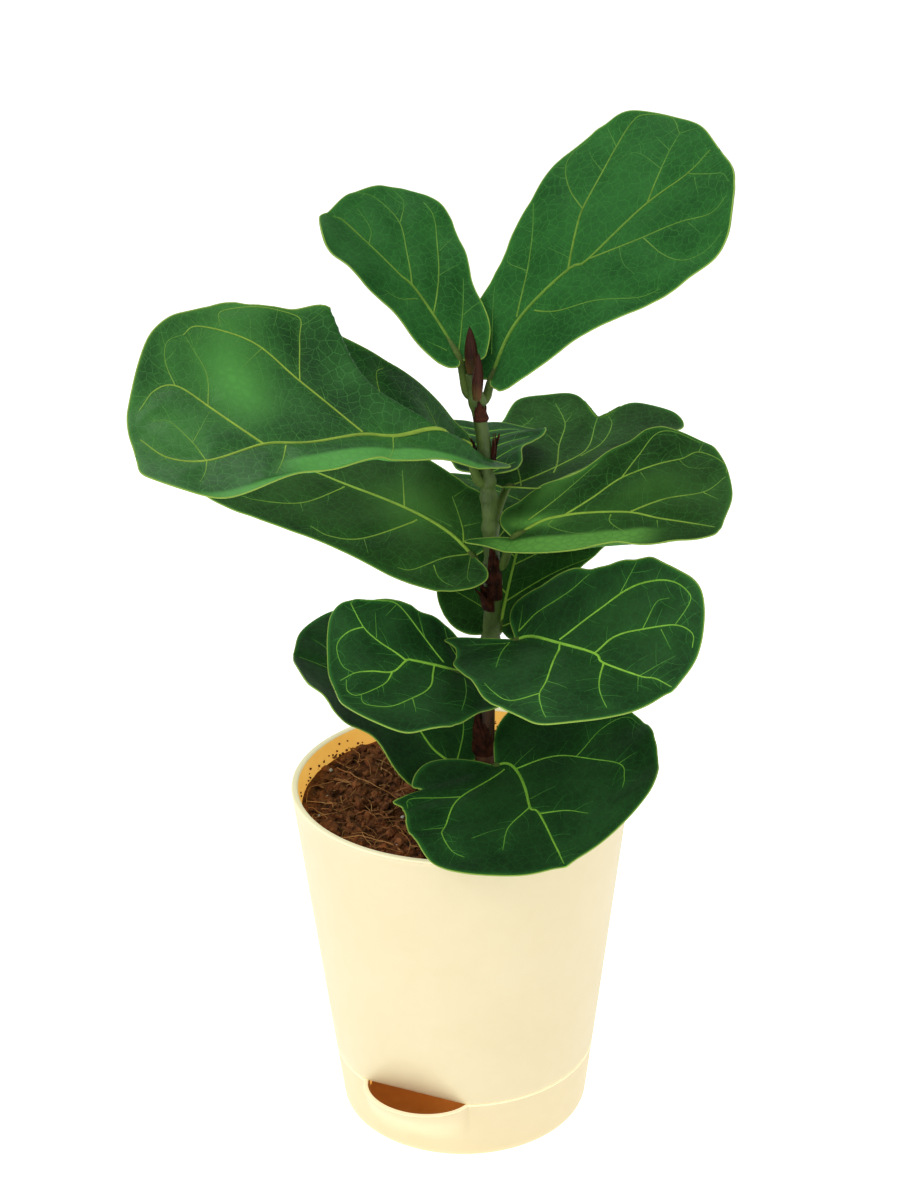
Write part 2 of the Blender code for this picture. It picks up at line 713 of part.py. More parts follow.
def make_leaf(name, leaf, parts, holder):
    grid = blade_grid(leaf, BLADE_ROWS, BLADE_COLUMNS)
    rows, columns = grid.shape[:2]
    places = leaf_place(leaf, grid[..., 0], grid[..., 1])
    tip = leaf_place(leaf, np.array([1.0]), np.array([0.0]))[0]
    work = bmesh.new()
    points = [[work.verts.new(places[r, c]) for c in range(columns)] for r in range(rows)]
    for r in range(rows - 1):
        for c in range(columns - 1):
            work.faces.new((points[r][c], points[r][c + 1], points[r + 1][c + 1], points[r + 1][c]))
    last = work.verts.new(tip)
    for c in range(columns - 1):
        work.faces.new((points[-1][c], points[-1][c + 1], last))
    bmesh.ops.recalc_face_normals(work, faces=work.faces)
    mesh = bpy.data.meshes.new(name)
    work.to_mesh(mesh)
    work.free()
    obj = add_object(name, mesh, parts, "leaf")
    solid = obj.modifiers.new("thickness", "SOLIDIFY")
    solid.thickness = BLADE
    solid.offset = 0
    solid.use_even_offset = False
    applied(obj)
    line = petiole_line(leaf)
    tapers = (0.95, 0.95, 0.85, 0.65, 0.50, 0.35)
    stalk = tube(name + "_stalk", line, [PETIOLE_RADIUS * taper for taper in tapers], parts)
    join_solid(obj, stalk)
    smooth_sides(obj)
    obj.parent = holder
    return obj


def make_sheath(index, sheath, parts, holder):
    """A torn papery scale around the stem, ending in a point."""
    columns = 6
    rows = 4
    work = bmesh.new()
    grid = []
    for row in range(rows + 1):
        share = row / rows
        height = sheath["foot"] + sheath["length"] * share
        centre = stem_point(height)
        radius = stem_radius(height) + FIT_GAP + SHEATH_WALL / 2 + sheath["flare"] * share ** 2 + 0.0003
        span = sheath["wrap"] * (1 - 0.85 * share ** 1.5)
        line = []
        for column in range(columns + 1):
            angle = math.radians(sheath["facing"] + span * (column / columns - 0.5))
            place = centre + Vector((radius * math.cos(angle), radius * math.sin(angle), 0))
            line.append(work.verts.new(place))
        grid.append(line)
    for low, high in zip(grid, grid[1:]):
        for column in range(columns):
            work.faces.new((low[column], low[column + 1], high[column + 1], high[column]))
    mesh = bpy.data.meshes.new("sheath")
    work.to_mesh(mesh)
    work.free()
    obj = add_object(f"leaf_sheath_{index + 1}", mesh, parts, "sheath")
    solid = obj.modifiers.new("thickness", "SOLIDIFY")
    solid.thickness = SHEATH_WALL
    solid.offset = 0
    applied(obj)
    obj.parent = holder
    return obj


def make_bud(name, bud, parts, holder):
    length, radius = bud["length"], bud["radius"]
    profile = [(0, length)]
    for share in (0.92, 0.75, 0.55, 0.35, 0.15):
        profile.append((radius * math.sin(math.pi * (1 - share) ** 0.75) ** 0.8, length * share))
    profile += [(radius * 0.55, 0), (0, 0)]
    obj = turned(name, profile, parts, "bud", 16)
    smooth_sides(obj, 60)
    top = stem_point(STEM_PATH[-1][1])
    obj.rotation_euler = (0, math.radians(bud["lean"]), 0)
    obj.location = top + Vector((bud["side"], bud["back"], bud["lift"]))
    obj.parent = holder
    return obj


def main():
    clear_scene()
    parts = new_collection("potted_fiddle_leaf_fig")
    cutters = new_collection("cutters", hidden=True)
    holder = add_object("plant", None, parts)
    holder.rotation_euler = (0, 0, PLANT_TURN)
    bpy.context.view_layer.update()

    pot = make_pot(parts, cutters)
    cut_spigot(pot, cutters)
    smooth_sides(pot)
    make_tray(parts)
    soil = make_soil(parts)
    cut_soil_for_roots(soil, cutters, holder)

    stem = stem_solid("stem", parts, 0.0, STEM_PATH[-1][1])
    stem.data.materials.clear()
    stem.data.materials.append(material("stem"))
    smooth_sides(stem)
    stem.parent = holder

    for name, leaf in LEAVES.items():
        make_leaf(name, leaf, parts, holder)
    for index, sheath in enumerate(SHEATHS):
        make_sheath(index, sheath, parts, holder)
    for name, bud in BUDS.items():
        make_bud(name, bud, parts, holder)
    bpy.context.view_layer.update()


main()
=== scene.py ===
import math
import random

import bpy
import numpy as np
from mathutils import Matrix, Vector, noise


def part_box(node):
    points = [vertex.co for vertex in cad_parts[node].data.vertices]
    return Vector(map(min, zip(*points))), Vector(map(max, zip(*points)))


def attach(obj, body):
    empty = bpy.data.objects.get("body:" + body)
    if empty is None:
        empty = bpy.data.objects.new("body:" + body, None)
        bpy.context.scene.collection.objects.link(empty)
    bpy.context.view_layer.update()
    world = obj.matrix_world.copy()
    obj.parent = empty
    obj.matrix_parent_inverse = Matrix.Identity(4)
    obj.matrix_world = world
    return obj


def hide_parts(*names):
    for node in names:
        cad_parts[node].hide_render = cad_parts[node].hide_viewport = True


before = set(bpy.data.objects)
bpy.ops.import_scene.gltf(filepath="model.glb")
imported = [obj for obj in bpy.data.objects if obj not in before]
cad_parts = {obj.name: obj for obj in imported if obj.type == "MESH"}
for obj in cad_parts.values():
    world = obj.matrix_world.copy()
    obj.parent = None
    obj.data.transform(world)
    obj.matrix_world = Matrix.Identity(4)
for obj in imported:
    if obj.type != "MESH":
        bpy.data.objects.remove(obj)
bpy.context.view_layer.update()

# the pot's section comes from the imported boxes, the plant stands on the soil's level
rimRadius, _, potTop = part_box("pot_body")[1]
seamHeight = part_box("water_tray")[1][2]
soilDrop = 0.0100  # soil's level under the rim
soilLevel = potTop - soilDrop
plantTurn = math.radians(24)
plantMatrix = np.array(Matrix.Rotation(plantTurn, 3, "Z"))
fullTurn = 2 * math.pi


def pickNone():
    for obj in bpy.context.selected_objects:
        obj.select_set(False)


def pickOnly(obj):
    pickNone()
    obj.select_set(True)
    bpy.context.view_layer.objects.active = obj


def applyAll(obj):
    pickOnly(obj)
    for modifier in list(obj.modifiers):
        bpy.ops.object.modifier_apply(modifier=modifier.name)


def editAll(obj, *steps):
    # edit mode with all selected, for operators given as (operator, settings)
    pickOnly(obj)
    bpy.ops.object.mode_set(mode="EDIT")
    bpy.ops.mesh.select_all(action="SELECT")
    for operator, settings in steps:
        operator(**settings)
    bpy.ops.object.mode_set(mode="OBJECT")


def tidyFaces(obj, merge=0.000004):
    # doubles merged, then the faces turned outwards
    editAll(
        obj,
        (bpy.ops.mesh.remove_doubles, dict(threshold=merge)),
        (bpy.ops.mesh.normals_make_consistent, dict(inside=False)),
    )


def coords(obj):
    flat = np.empty(len(obj.data.vertices) * 3)
    obj.data.vertices.foreach_get("co", flat)
    return flat.reshape(-1, 3)


def setCoords(obj, points):
    obj.data.vertices.foreach_set("co", np.asarray(points, float).ravel())
    obj.data.update()


def finishPiece(obj, slot, nodes=(), smooth=40, stuff=None):
    # smooth is the angle in degrees, 0 for flat faces
    if stuff:
        obj.data.materials.append(stuff)
    pickOnly(obj)
    if smooth:
        bpy.ops.object.shade_smooth_by_angle(angle=math.radians(smooth))
    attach(obj, "root")
    if nodes:
        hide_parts(*nodes)


def meshObject(name, points, faces):
    mesh = bpy.data.meshes.new(name)
    mesh.from_pydata([tuple(p) for p in points], [], [tuple(f) for f in faces])
    mesh.update()
    obj = bpy.data.objects.new(name, mesh)
    bpy.context.scene.collection.objects.link(obj)
    return obj


def setAttribute(obj, name, values):
    layers = obj.data.attributes
    layer = layers.get(name) or layers.new(name, "FLOAT", "POINT")
    layer.data.foreach_set("value", np.asarray(values, float).ravel())


def ease(value, low, high):
    share = np.clip((np.asarray(value, float) - low) / (high - low), 0, 1)
    return share * share * (3 - 2 * share)


def bumpNoise(points, scale, seed=0.0, octaves=1):
    # smooth noise between -1 and 1 at each point
    total = np.zeros(len(points))
    size, weight = scale, 1.0
    for octave in range(octaves):
        places = [Vector((p[0] * size, p[1] * size, p[2] * size + seed)) for p in points]
        total += weight * np.array([noise.noise(place) for place in places])
        size, weight = size * 2.1, weight * 0.5
    return total


def flatNoise(first, scale, seed, octaves=1):
    # the same along one number
    return bumpNoise(np.column_stack([first * scale, 0 * first, 0 * first]), 1.0, seed, octaves)


def curvedLine(points, count):
    # a smooth line through the given points
    given = np.array(points, float)
    ends = np.vstack([2 * given[0] - given[1], given, 2 * given[-1] - given[-2]])
    spans = len(given) - 1
    place = np.linspace(0, spans, count)
    index = np.minimum(place.astype(int), spans - 1)
    u = (place - index)[:, None]
    a, b, c, d = (ends[index + k] for k in range(4))
    square, cube = 2 * a - 5 * b + 4 * c - d, 3 * b - a - 3 * c + d
    return 0.5 * (2 * b + (c - a) * u + square * u ** 2 + cube * u ** 3)


# building nodes: add(kind, settings) puts one in a tree and links what it is given
def setSocket(tree, socket, given):
    if isinstance(given, bpy.types.NodeSocket):
        tree.links.new(given, socket)
    elif socket.type == "RGBA":
        socket.default_value = (*given[:3], 1)
    else:
        socket.default_value = given


def nodeTree(tree):
    def add(kind, inputs=(), **settings):
        node = tree.nodes.new(kind)
        for key, value in settings.items():
            setattr(node, key, value)
        for socket, given in dict(inputs).items():
            setSocket(tree, node.inputs[socket], given)
        return node
    return add


def newGroup(name, inputs, outputs):
    tree = bpy.data.node_groups.new(name, "ShaderNodeTree")
    for label, kind, value in inputs:
        socket = tree.interface.new_socket(label, in_out="INPUT", socket_type="NodeSocket" + kind)
        if value is not None:
            socket.default_value = value
    for label, kind in outputs:
        tree.interface.new_socket(label, in_out="OUTPUT", socket_type="NodeSocket" + kind)
    add = nodeTree(tree)
    return tree, add, add("NodeGroupInput").outputs, add("NodeGroupOutput").inputs


def useGroup(add, group, **values):
    node = add("ShaderNodeGroup")
    node.node_tree = group
    for label, value in values.items():
        setSocket(node.id_data, node.inputs[label.replace("_", " ")], value)
    return node.outputs


def calc(add, operation, first, second, clamp=False):
    return add("ShaderNodeMath", operation=operation, use_clamp=clamp, inputs={0: first, 1: second}).outputs[0]


def times(add, first, second, clamp=False):
    return calc(add, "MULTIPLY", first, second, clamp)


def aboveLevel(add, value, start, slope):
    # a mask that rises from 0 at start by slope
    return times(add, calc(add, "SUBTRACT", value, start), slope, True)


def mixColour(add, share, first, second):
    sockets = {0: share, 6: first, 7: second}
    return add("ShaderNodeMix", data_type="RGBA", blend_type="MIX", inputs=sockets).outputs[2]


def noiseAt(add, vector, scale, detail):
    return add("ShaderNodeTexNoise", inputs={"Vector": vector, "Scale": scale, "Detail": detail}).outputs


# two colours mixed in soft patches, with a second finer layer
mottle, add, given, out = newGroup(
    "mottle",
    [("Vector", "Vector", None), ("Scale", "Float", 20.0), ("Low", "Color", None), ("High", "Color", None),
     ("Sharp", "Float", 1.0)],
    [("Color", "Color")],
)
broad = noiseAt(add, given["Vector"], given["Scale"], 5.0)["Fac"]
fine = noiseAt(add, given["Vector"], times(add, given["Scale"], 6.3), 3.0)["Fac"]
both = calc(add, "ADD", times(add, broad, 0.7), times(add, fine, 0.3))
centred = times(add, calc(add, "SUBTRACT", both, 0.5), times(add, given["Sharp"], 2.6))
mask = calc(add, "ADD", centred, 0.5, True)
mottle.links.new(mixColour(add, mask, given["Low"], given["High"]), out["Color"])

# fine pits and lumps: a height for a bump and a number that moves the roughness
grain, add, given, out = newGroup(
    "grain",
    [("Vector", "Vector", None), ("Scale", "Float", 400.0), ("Rough low", "Float", 0.4), ("Rough high", "Float", 0.5)],
    [("Height", "Float"), ("Roughness", "Float")],
)
speck = noiseAt(add, given["Vector"], given["Scale"], 4.0)["Fac"]
cloud = noiseAt(add, given["Vector"], times(add, given["Scale"], 0.12), 2.0)["Fac"]
spread = add("ShaderNodeMapRange", inputs={
    "Value": cloud, "From Min": 0.3, "From Max": 0.7, "To Min": given["Rough low"], "To Max": given["Rough high"]})
grain.links.new(speck, out["Height"])
grain.links.new(spread.outputs[0], out["Roughness"])

# the net of the smallest veins: wide lines, the puff between them and a finer net
veinNet, add, given, out = newGroup(
    "veinNet",
    [("Vector", "Vector", None), ("Cells", "Float", 60.0), ("Line", "Float", 0.06)],
    [("Lines", "Float"), ("Puff", "Float"), ("Fine", "Float")],
)
bend = noiseAt(add, given["Vector"], times(add, given["Cells"], 0.8), 2.0)["Color"]
shift = add("ShaderNodeVectorMath", operation="MULTIPLY_ADD", inputs={
    0: bend, 1: (0.012, 0.012, 0.0), 2: given["Vector"]}).outputs[0]
for label, factor, share in (("Lines", 1.0, 1.0), ("Fine", 3.1, 1.6)):
    cells = add("ShaderNodeTexVoronoi", feature="DISTANCE_TO_EDGE", voronoi_dimensions="2D", inputs={
        "Vector": shift, "Scale": times(add, given["Cells"], factor)}).outputs["Distance"]
    near = calc(add, "DIVIDE", cells, times(add, given["Line"], share))
    veinNet.links.new(calc(add, "SUBTRACT", 1.0, near, True), out[label])
    if label == "Lines":
        veinNet.links.new(times(add, cells, 2.0, True), out["Puff"])


def startMaterial(name):
    material = bpy.data.materials.new(name)
    material.use_nodes = True
    tree = material.node_tree
    return material, nodeTree(tree), tree.nodes["Principled BSDF"]


def readValue(add, name):
    return add("ShaderNodeAttribute", attribute_name=name).outputs["Fac"]


def finishShader(add, shader, colour, height, roughness, depth, gloss):
    # the ends that every finish has: colour, roughness, a bump of so many metres and the gloss
    tree = shader.id_data
    tree.links.new(colour, shader.inputs["Base Color"])
    tree.links.new(roughness, shader.inputs["Roughness"])
    shader.inputs["Specular IOR Level"].default_value = gloss
    bump = add("ShaderNodeBump", inputs={"Height": height, "Distance": depth, "Strength": 1.0})
    tree.links.new(bump.outputs[0], shader.inputs["Normal"])


def plainStuff(name, low, high, scale, rough, grainScale, depth, sharp=1.0, ior=1.5, glow=0.0, gloss=0.15):
    # a mottled, grained finish on object coordinates; glow is a painted glow, an emission that stands in for light that
    # comes through a thin wall
    material, add, shader = startMaterial(name)
    place = add("ShaderNodeTexCoord").outputs["Object"]
    spots = useGroup(add, mottle, Vector=place, Scale=scale, Low=low, High=high, Sharp=sharp)["Color"]
    grains = useGroup(add, grain, Vector=place, Scale=grainScale, Rough_low=rough[0], Rough_high=rough[1])
    finishShader(add, shader, spots, grains["Height"], grains["Roughness"], depth, gloss)
    shader.inputs["IOR"].default_value = ior
    if glow:
        shader.id_data.links.new(spots, shader.inputs["Emission Color"])
        shader.inputs["Emission Strength"].default_value = glow
    return material


def plastic(name, low, high, scale, rough, sharp=1.0, glow=0.0):
    return plainStuff(name, low, high, scale, rough, 900, 0.00004, sharp, 1.46, glow, 0.5)


# pot and tray
potShape = dict(
    seamRadius=0.0596, baseRadius=0.0560, wall=0.0030, rimRound=0.0010, spigotDepth=0.0060, spigotWall=0.0022,
    floor=0.0030, gap=0.0003, foot=0.0170, footWall=0.0022, footClear=0.0010, dentHeight=0.0240, dentSoft=0.0005,
    turns=216, slotWide=0.0030, slotHigh=0.0100,
)
trayShape = dict(wall=0.0026, floor=0.0025, round=0.0018, lipReach=0.0115, lipStart=0.0080, edge=0.0006)
mouthHalf = math.radians(24.7)


def outerRadius(height):
    p = potShape
    if height >= seamHeight:
        return p["seamRadius"] + (rimRadius - p["seamRadius"]) * (height - seamHeight) / (potTop - seamHeight)
    return p["baseRadius"] + (p["seamRadius"] - p["baseRadius"]) * height / seamHeight


def arcPoints(centre, radius, start, end, count):
    angles = np.radians(np.linspace(start, end, count))
    return [(centre[0] + radius * math.cos(a), centre[1] + radius * math.sin(a)) for a in angles]


def spinSection(name, section):
    # a ring of edges moved onto the section, spun about the pot's axis
    pickNone()
    bpy.ops.mesh.primitive_circle_add(vertices=len(section), radius=0.01, fill_type="NOTHING")
    obj = bpy.context.active_object
    obj.name = obj.data.name = name
    setCoords(obj, [(r, 0, z) for r, z in section])
    editAll(obj, (bpy.ops.mesh.spin, dict(steps=potShape["turns"], angle=fullTurn, center=(0, 0, 0), axis=(0, 0, 1))))
    tidyFaces(obj)
    return obj


def dentPush(points):
    # how far the pot is pushed in above its mouth
    p = potShape
    angle = np.arctan2(points[:, 0], -points[:, 1])
    height = np.maximum(points[:, 2], seamHeight)
    above = (height - seamHeight) / p["dentHeight"]
    chord = p["seamRadius"] * math.cos(mouthHalf)
    distance = chord + (outerRadius(seamHeight + p["dentHeight"]) - chord) * above
    wall = np.array([outerRadius(h) for h in height])
    front = np.abs(angle) < math.pi / 3
    push = wall - distance / np.cos(np.where(front, angle, 0))
    soft = p["dentSoft"]
    push = soft * np.logaddexp(0, push / soft) * ease(above, 1.25, 0.85)
    return np.where(front, push, 0)


def lipPush(points):
    share = np.abs(np.arctan2(points[:, 0], -points[:, 1])) / mouthHalf
    t = trayShape
    bulge = np.clip(1 - share ** 2, 0, 1) ** 0.75
    return t["lipReach"] * bulge * ease(points[:, 2], t["lipStart"], seamHeight)


def pushWall(obj, push, sign, inside):
    points = coords(obj)
    radius = np.hypot(points[:, 0], points[:, 1])
    moved = np.where(radius > inside, sign * push(points), 0) / np.maximum(radius, 1e-6)
    points[:, :2] *= (1 + moved)[:, None]
    setCoords(obj, points)


def cutBoxes(obj, boxes):
    # one cut for boxes that stand clear of each other, each (size, place, turn)
    cutters = []
    for size, place, turn in boxes:
        pickNone()
        bpy.ops.mesh.primitive_cube_add(size=1)
        cutters.append(bpy.context.active_object)
        moved = Matrix.Rotation(turn, 4, "Z") @ Matrix.Translation(place)
        cutters[-1].data.transform(moved @ Matrix.Diagonal((*size, 1)))
    for other in cutters:
        other.select_set(True)
    bpy.ops.object.join()
    cutter = bpy.context.active_object
    cut = obj.modifiers.new("cut", "BOOLEAN")
    cut.operation = "DIFFERENCE"
    cut.object = cutter
    applyAll(obj)
    bpy.data.objects.remove(cutter, do_unlink=True)


def makePot():
    p = potShape
    edge = p["rimRound"]
    low = seamHeight + p["gap"]
    spigot = outerRadius(seamHeight - p["spigotDepth"]) - trayShape["wall"] - p["gap"]
    footLow = trayShape["floor"] + p["footClear"]
    footFloor = footLow + p["footWall"]
    floorTop = seamHeight + p["floor"]
    upper = np.linspace(potTop - edge - 0.0002, seamHeight + 0.034, 40)
    heights = [*upper, *np.linspace(seamHeight + 0.033, low + 0.0006, 40)]
    section = arcPoints((rimRadius - edge, potTop - edge), edge, 90, 0, 7)
    section += [(outerRadius(z), z) for z in heights]
    section += arcPoints((outerRadius(low) - 0.0005, low + 0.0005), 0.0005, 0, -90, 4)
    section += [(spigot, low), (spigot, low - p["spigotDepth"]), (spigot - p["spigotWall"], low - p["spigotDepth"])]
    section += [(spigot - p["spigotWall"], low), (p["foot"], low), (p["foot"], footLow), (0, footLow), (0, footFloor)]
    section += [(p["foot"] - p["footWall"], footFloor), (p["foot"] - p["footWall"], floorTop)]
    corner = outerRadius(floorTop) - p["wall"]
    section += [(corner - 0.0030, floorTop)] + arcPoints((corner - 0.0020, floorTop + 0.0020), 0.0020, -90, 0, 5)
    section += [(outerRadius(z) - p["wall"], z) for z in reversed(heights) if z > floorTop + 0.0022]
    section += arcPoints((rimRadius - p["wall"] + edge, potTop - edge), edge, 180, 100, 6)
    pot = spinSection("pot", section)
    pushWall(pot, dentPush, -1, p["foot"] * 1.5)
    half = p["seamRadius"] * math.sin(mouthHalf)
    boxes = [((2 * half, p["seamRadius"] / 2, 2 * p["spigotDepth"]), (0, -p["seamRadius"], low - p["spigotDepth"]), 0)]
    slotSize = (4 * p["footWall"], p["slotWide"], p["slotHigh"])
    slotPlace = (p["foot"] - p["footWall"] / 2, 0, footFloor + p["slotHigh"] / 2)
    boxes += [(slotSize, slotPlace, math.pi / 2 * (index + 0.5)) for index in range(4)]
    cutBoxes(pot, boxes)

    def inside(c, n):
        return c.x * n.x + c.y * n.y < 0 and floorTop - 0.001 < c.z < potTop - 0.0006 or c.z < low - 0.0002

    paintInside(pot, [potOutside, potInsideGlow, plasticEdgeHighlight], inside, potTop)
    finishPiece(pot, "pot", ["pot_body"])


def makeTray():
    t = trayShape
    top = seamHeight
    heights = list(np.linspace(top - t["edge"] - 0.0002, t["round"] + 0.0003, 30))
    section = arcPoints((outerRadius(top) - t["edge"], top - t["edge"]), t["edge"], 90, 0, 5)
    section += [(outerRadius(z), z) for z in heights]
    section += arcPoints((potShape["baseRadius"] - t["round"], t["round"]), t["round"], 0, -90, 7)
    base = potShape["baseRadius"]
    section += [(base - 0.004, 0), (base - 0.0045, 0.0004), (0, 0.0004), (0, t["floor"])]
    corner = outerRadius(t["floor"]) - t["wall"]
    section += [(corner - 0.003, t["floor"])] + arcPoints((corner - 0.0015, t["floor"] + 0.0015), 0.0015, -90, 0, 5)
    section += [(outerRadius(z) - t["wall"], z) for z in reversed(heights) if z > t["floor"] + 0.0016]
    section += arcPoints((outerRadius(top) - t["wall"] + t["edge"], top - t["edge"]), t["edge"], 180, 100, 4)
    tray = spinSection("watering_tray", section)
    pushWall(tray, lipPush, 1, potShape["foot"] * 1.5)

    def inside(c, n):
        return c.x * n.x + c.y * n.y < 0 and 0.002 < c.z < top - 0.0005 or n.z > 0.5 and c.z < top - 0.002

    paintInside(tray, [trayOutside, trayInsideShade, plasticEdgeHighlight], inside, top)
    finishPiece(tray, "tray", ["water_tray"])


def paintInside(obj, materials, inside, top):
    # materials for the outer wall, the inner one with its painted bounce light and painted glow, and the top edge with
    # its painted highlight
    for material in materials:
        obj.data.materials.append(material)
    for face in obj.data.polygons:
        face.material_index = 1 if inside(face.center, face.normal) else 0
        if face.center.z > top - 0.0007 and face.normal.z > 0.15:
            face.material_index = 2


potOutside = plastic("satin cream plastic", (0.84, 0.715, 0.44), (0.88, 0.765, 0.50), 22, (0.42, 0.50), 0.8)
# the pot's inner wall: a deep orange for painted warm bounce light, and a painted glow for light through the wall
potInsideGlow = plastic("cream plastic inside painted glow", (0.80, 0.41, 0.070), (0.88, 0.49, 0.105), 30, (0.50, 0.60), glow=0.70)
trayOutside = plastic("satin peach plastic", (0.85, 0.71, 0.42), (0.89, 0.76, 0.48), 24, (0.40, 0.48), 0.8)
# the tray's inside: painted shade in a dark orange brown, with a weak painted glow for bounce light
trayInsideShade = plastic("tray plastic inside painted shade", (0.42, 0.175, 0.034), (0.54, 0.25, 0.060), 40, (0.45, 0.55), glow=0.12)
# the top edges of pot and tray: a lighter colour and a painted glow, a painted highlight along the rims
plasticEdgeHighlight = plastic("cream plastic edge painted highlight", (0.88, 0.78, 0.50), (0.92, 0.83, 0.57), 30, (0.45, 0.55), 0.8, 0.42)
makePot()
makeTray()
print("pot and tray made")


# soil
soilShape = dict(
    rings=70, lump=0.0040, edge=0.0003, crumbs=1700, wallCrumbs=152, chips=95, fibres=250, perlite=26, seed=11,
    calm=0.93,
)


def soilHeight(points):
    # clods, hollows and fine lumps on the soil's top
    flat = np.column_stack([points[:, 0], points[:, 1], np.zeros(len(points))])
    coarse = bumpNoise(flat, 75, 3.0)
    middle = bumpNoise(flat, 210, 9.0)
    fine = bumpNoise(flat, 520, 5.0, 2)
    return soilShape["lump"] * (0.62 * coarse + 0.55 * (np.abs(middle) * 1.6 - 0.3) + 0.20 * fine)


def wallCalm(radius, reach):
    # the soil lies flatter against the wall
    return 0.25 + 0.75 * ease(radius, reach, reach * soilShape["calm"])


def makeSoil():
    s = soilShape
    wall = potShape["wall"] + s["edge"]
    low = seamHeight + potShape["floor"] + s["edge"]
    reach = outerRadius(soilLevel) - wall
    section = [(0, soilLevel)] + [(reach * k / s["rings"], soilLevel) for k in range(1, s["rings"] + 1)]
    section += [(outerRadius(z) - wall, z) for z in np.linspace(soilLevel - 0.002, low + 0.003, 24)]
    footRadius = potShape["foot"] - potShape["footWall"] - s["edge"]
    footFloor = trayShape["floor"] + potShape["footClear"] + potShape["footWall"] + s["edge"]
    section += [(outerRadius(low) - wall - 0.003, low), (footRadius, low), (footRadius, footFloor), (0, footFloor)]
    soil = spinSection("soil_bed", section)
    points = coords(soil)
    radius = np.hypot(points[:, 0], points[:, 1])
    top = points[:, 2] > soilLevel - 0.0001
    points[top, 2] += soilHeight(points[top]) * wallCalm(radius[top], reach)
    setCoords(soil, points)
    pushWall(soil, dentPush, -1, potShape["foot"] * 1.5)
    finishPiece(soil, "soil", ["soil"], 60, soilStuff)
    return reach


def lumpMesh(name, rows, subdivisions=1):
    # copies of one rough lump, each (place, size xyz, turn), joined in one mesh
    pickNone()
    bpy.ops.mesh.primitive_ico_sphere_add(subdivisions=subdivisions, radius=1)
    seed = bpy.context.active_object
    base = coords(seed)
    faces = np.array([tuple(f.vertices) for f in seed.data.polygons])
    bpy.data.objects.remove(seed, do_unlink=True)
    points, allFaces = [], []
    for index, (place, size, turn) in enumerate(rows):
        rough = 1 + 0.28 * bumpNoise(base * 1.3 + index * 7.7, 1.0)
        shape = (base * rough[:, None] * np.array(size)) @ np.array(turn.to_matrix()).T
        points.append(shape + np.array(place))
        allFaces.append(faces + index * len(base))
    return meshObject(name, np.concatenate(points), np.concatenate(allFaces))


def tubeLines(name, lines, sides=6):
    # round tubes through many lines in one mesh: each (points, radii, value)
    points, faces, values = [], [], []
    start = 0
    ring = np.arange(sides)
    angles = 2 * math.pi * ring / sides
    for line, radii, value in lines:
        line = np.asarray(line, float)
        count = len(line)
        ahead = np.gradient(line, axis=0)
        ahead /= np.maximum(np.linalg.norm(ahead, axis=1), 1e-9)[:, None]
        first = np.cross(ahead, (0.31, 0.17, 0.94) if abs(ahead[0][2]) < 0.8 else (0.94, 0.3, 0.1))
        first /= np.maximum(np.linalg.norm(first, axis=1), 1e-9)[:, None]
        second = np.cross(first, ahead)
        radii = np.broadcast_to(np.asarray(radii, float), (count,))
        circle = np.cos(angles)[:, None] * first[:, None] + np.sin(angles)[:, None] * second[:, None]
        rings = line[:, None] + radii[:, None, None] * circle
        points.append(rings.reshape(-1, 3))
        values.append(np.repeat(np.broadcast_to(np.asarray(value, float), (count,)), sides))
        for k in range(count - 1):
            a = start + k * sides
            faces += [(a + i, a + (i + 1) % sides, a + sides + (i + 1) % sides, a + sides + i) for i in ring]
        faces.append(tuple(start + i for i in reversed(ring)))
        faces.append(tuple(start + (count - 1) * sides + i for i in ring))
        start += count * sides
    obj = meshObject(name, np.concatenate(points), faces)
    setAttribute(obj, "value", np.concatenate(values))
    editAll(obj, (bpy.ops.mesh.normals_make_consistent, dict(inside=False)))
    return obj


def randomTurn(draw, low=0.0, high=6.28):
    # any turn about Z and one between two angles about X
    about = Matrix.Rotation(draw.uniform(0, 6.28), 3, "Z").to_quaternion()
    return about @ Matrix.Rotation(draw.uniform(low, high), 3, "X").to_quaternion()


def onSoil(draw, reach):
    radius = reach * math.sqrt(draw.random())
    angle = draw.uniform(0, fullTurn)
    x, y = radius * math.cos(angle), radius * math.sin(angle)
    lump = float(soilHeight(np.array([[x, y, soilLevel]]))[0])
    return x, y, soilLevel + lump * float(wallCalm(radius, reach))


def onWall(draw, size):
    angle = math.radians(draw[0])
    radius = outerRadius(soilLevel + draw[1]) - potShape["wall"] - size * 0.35
    return radius * math.cos(angle), radius * math.sin(angle), soilLevel + draw[1]


def strewOnSoil(name, rows, stuff, smooth, subdivisions=1):
    finishPiece(lumpMesh(name, rows, subdivisions), "soil", (), smooth, stuff)


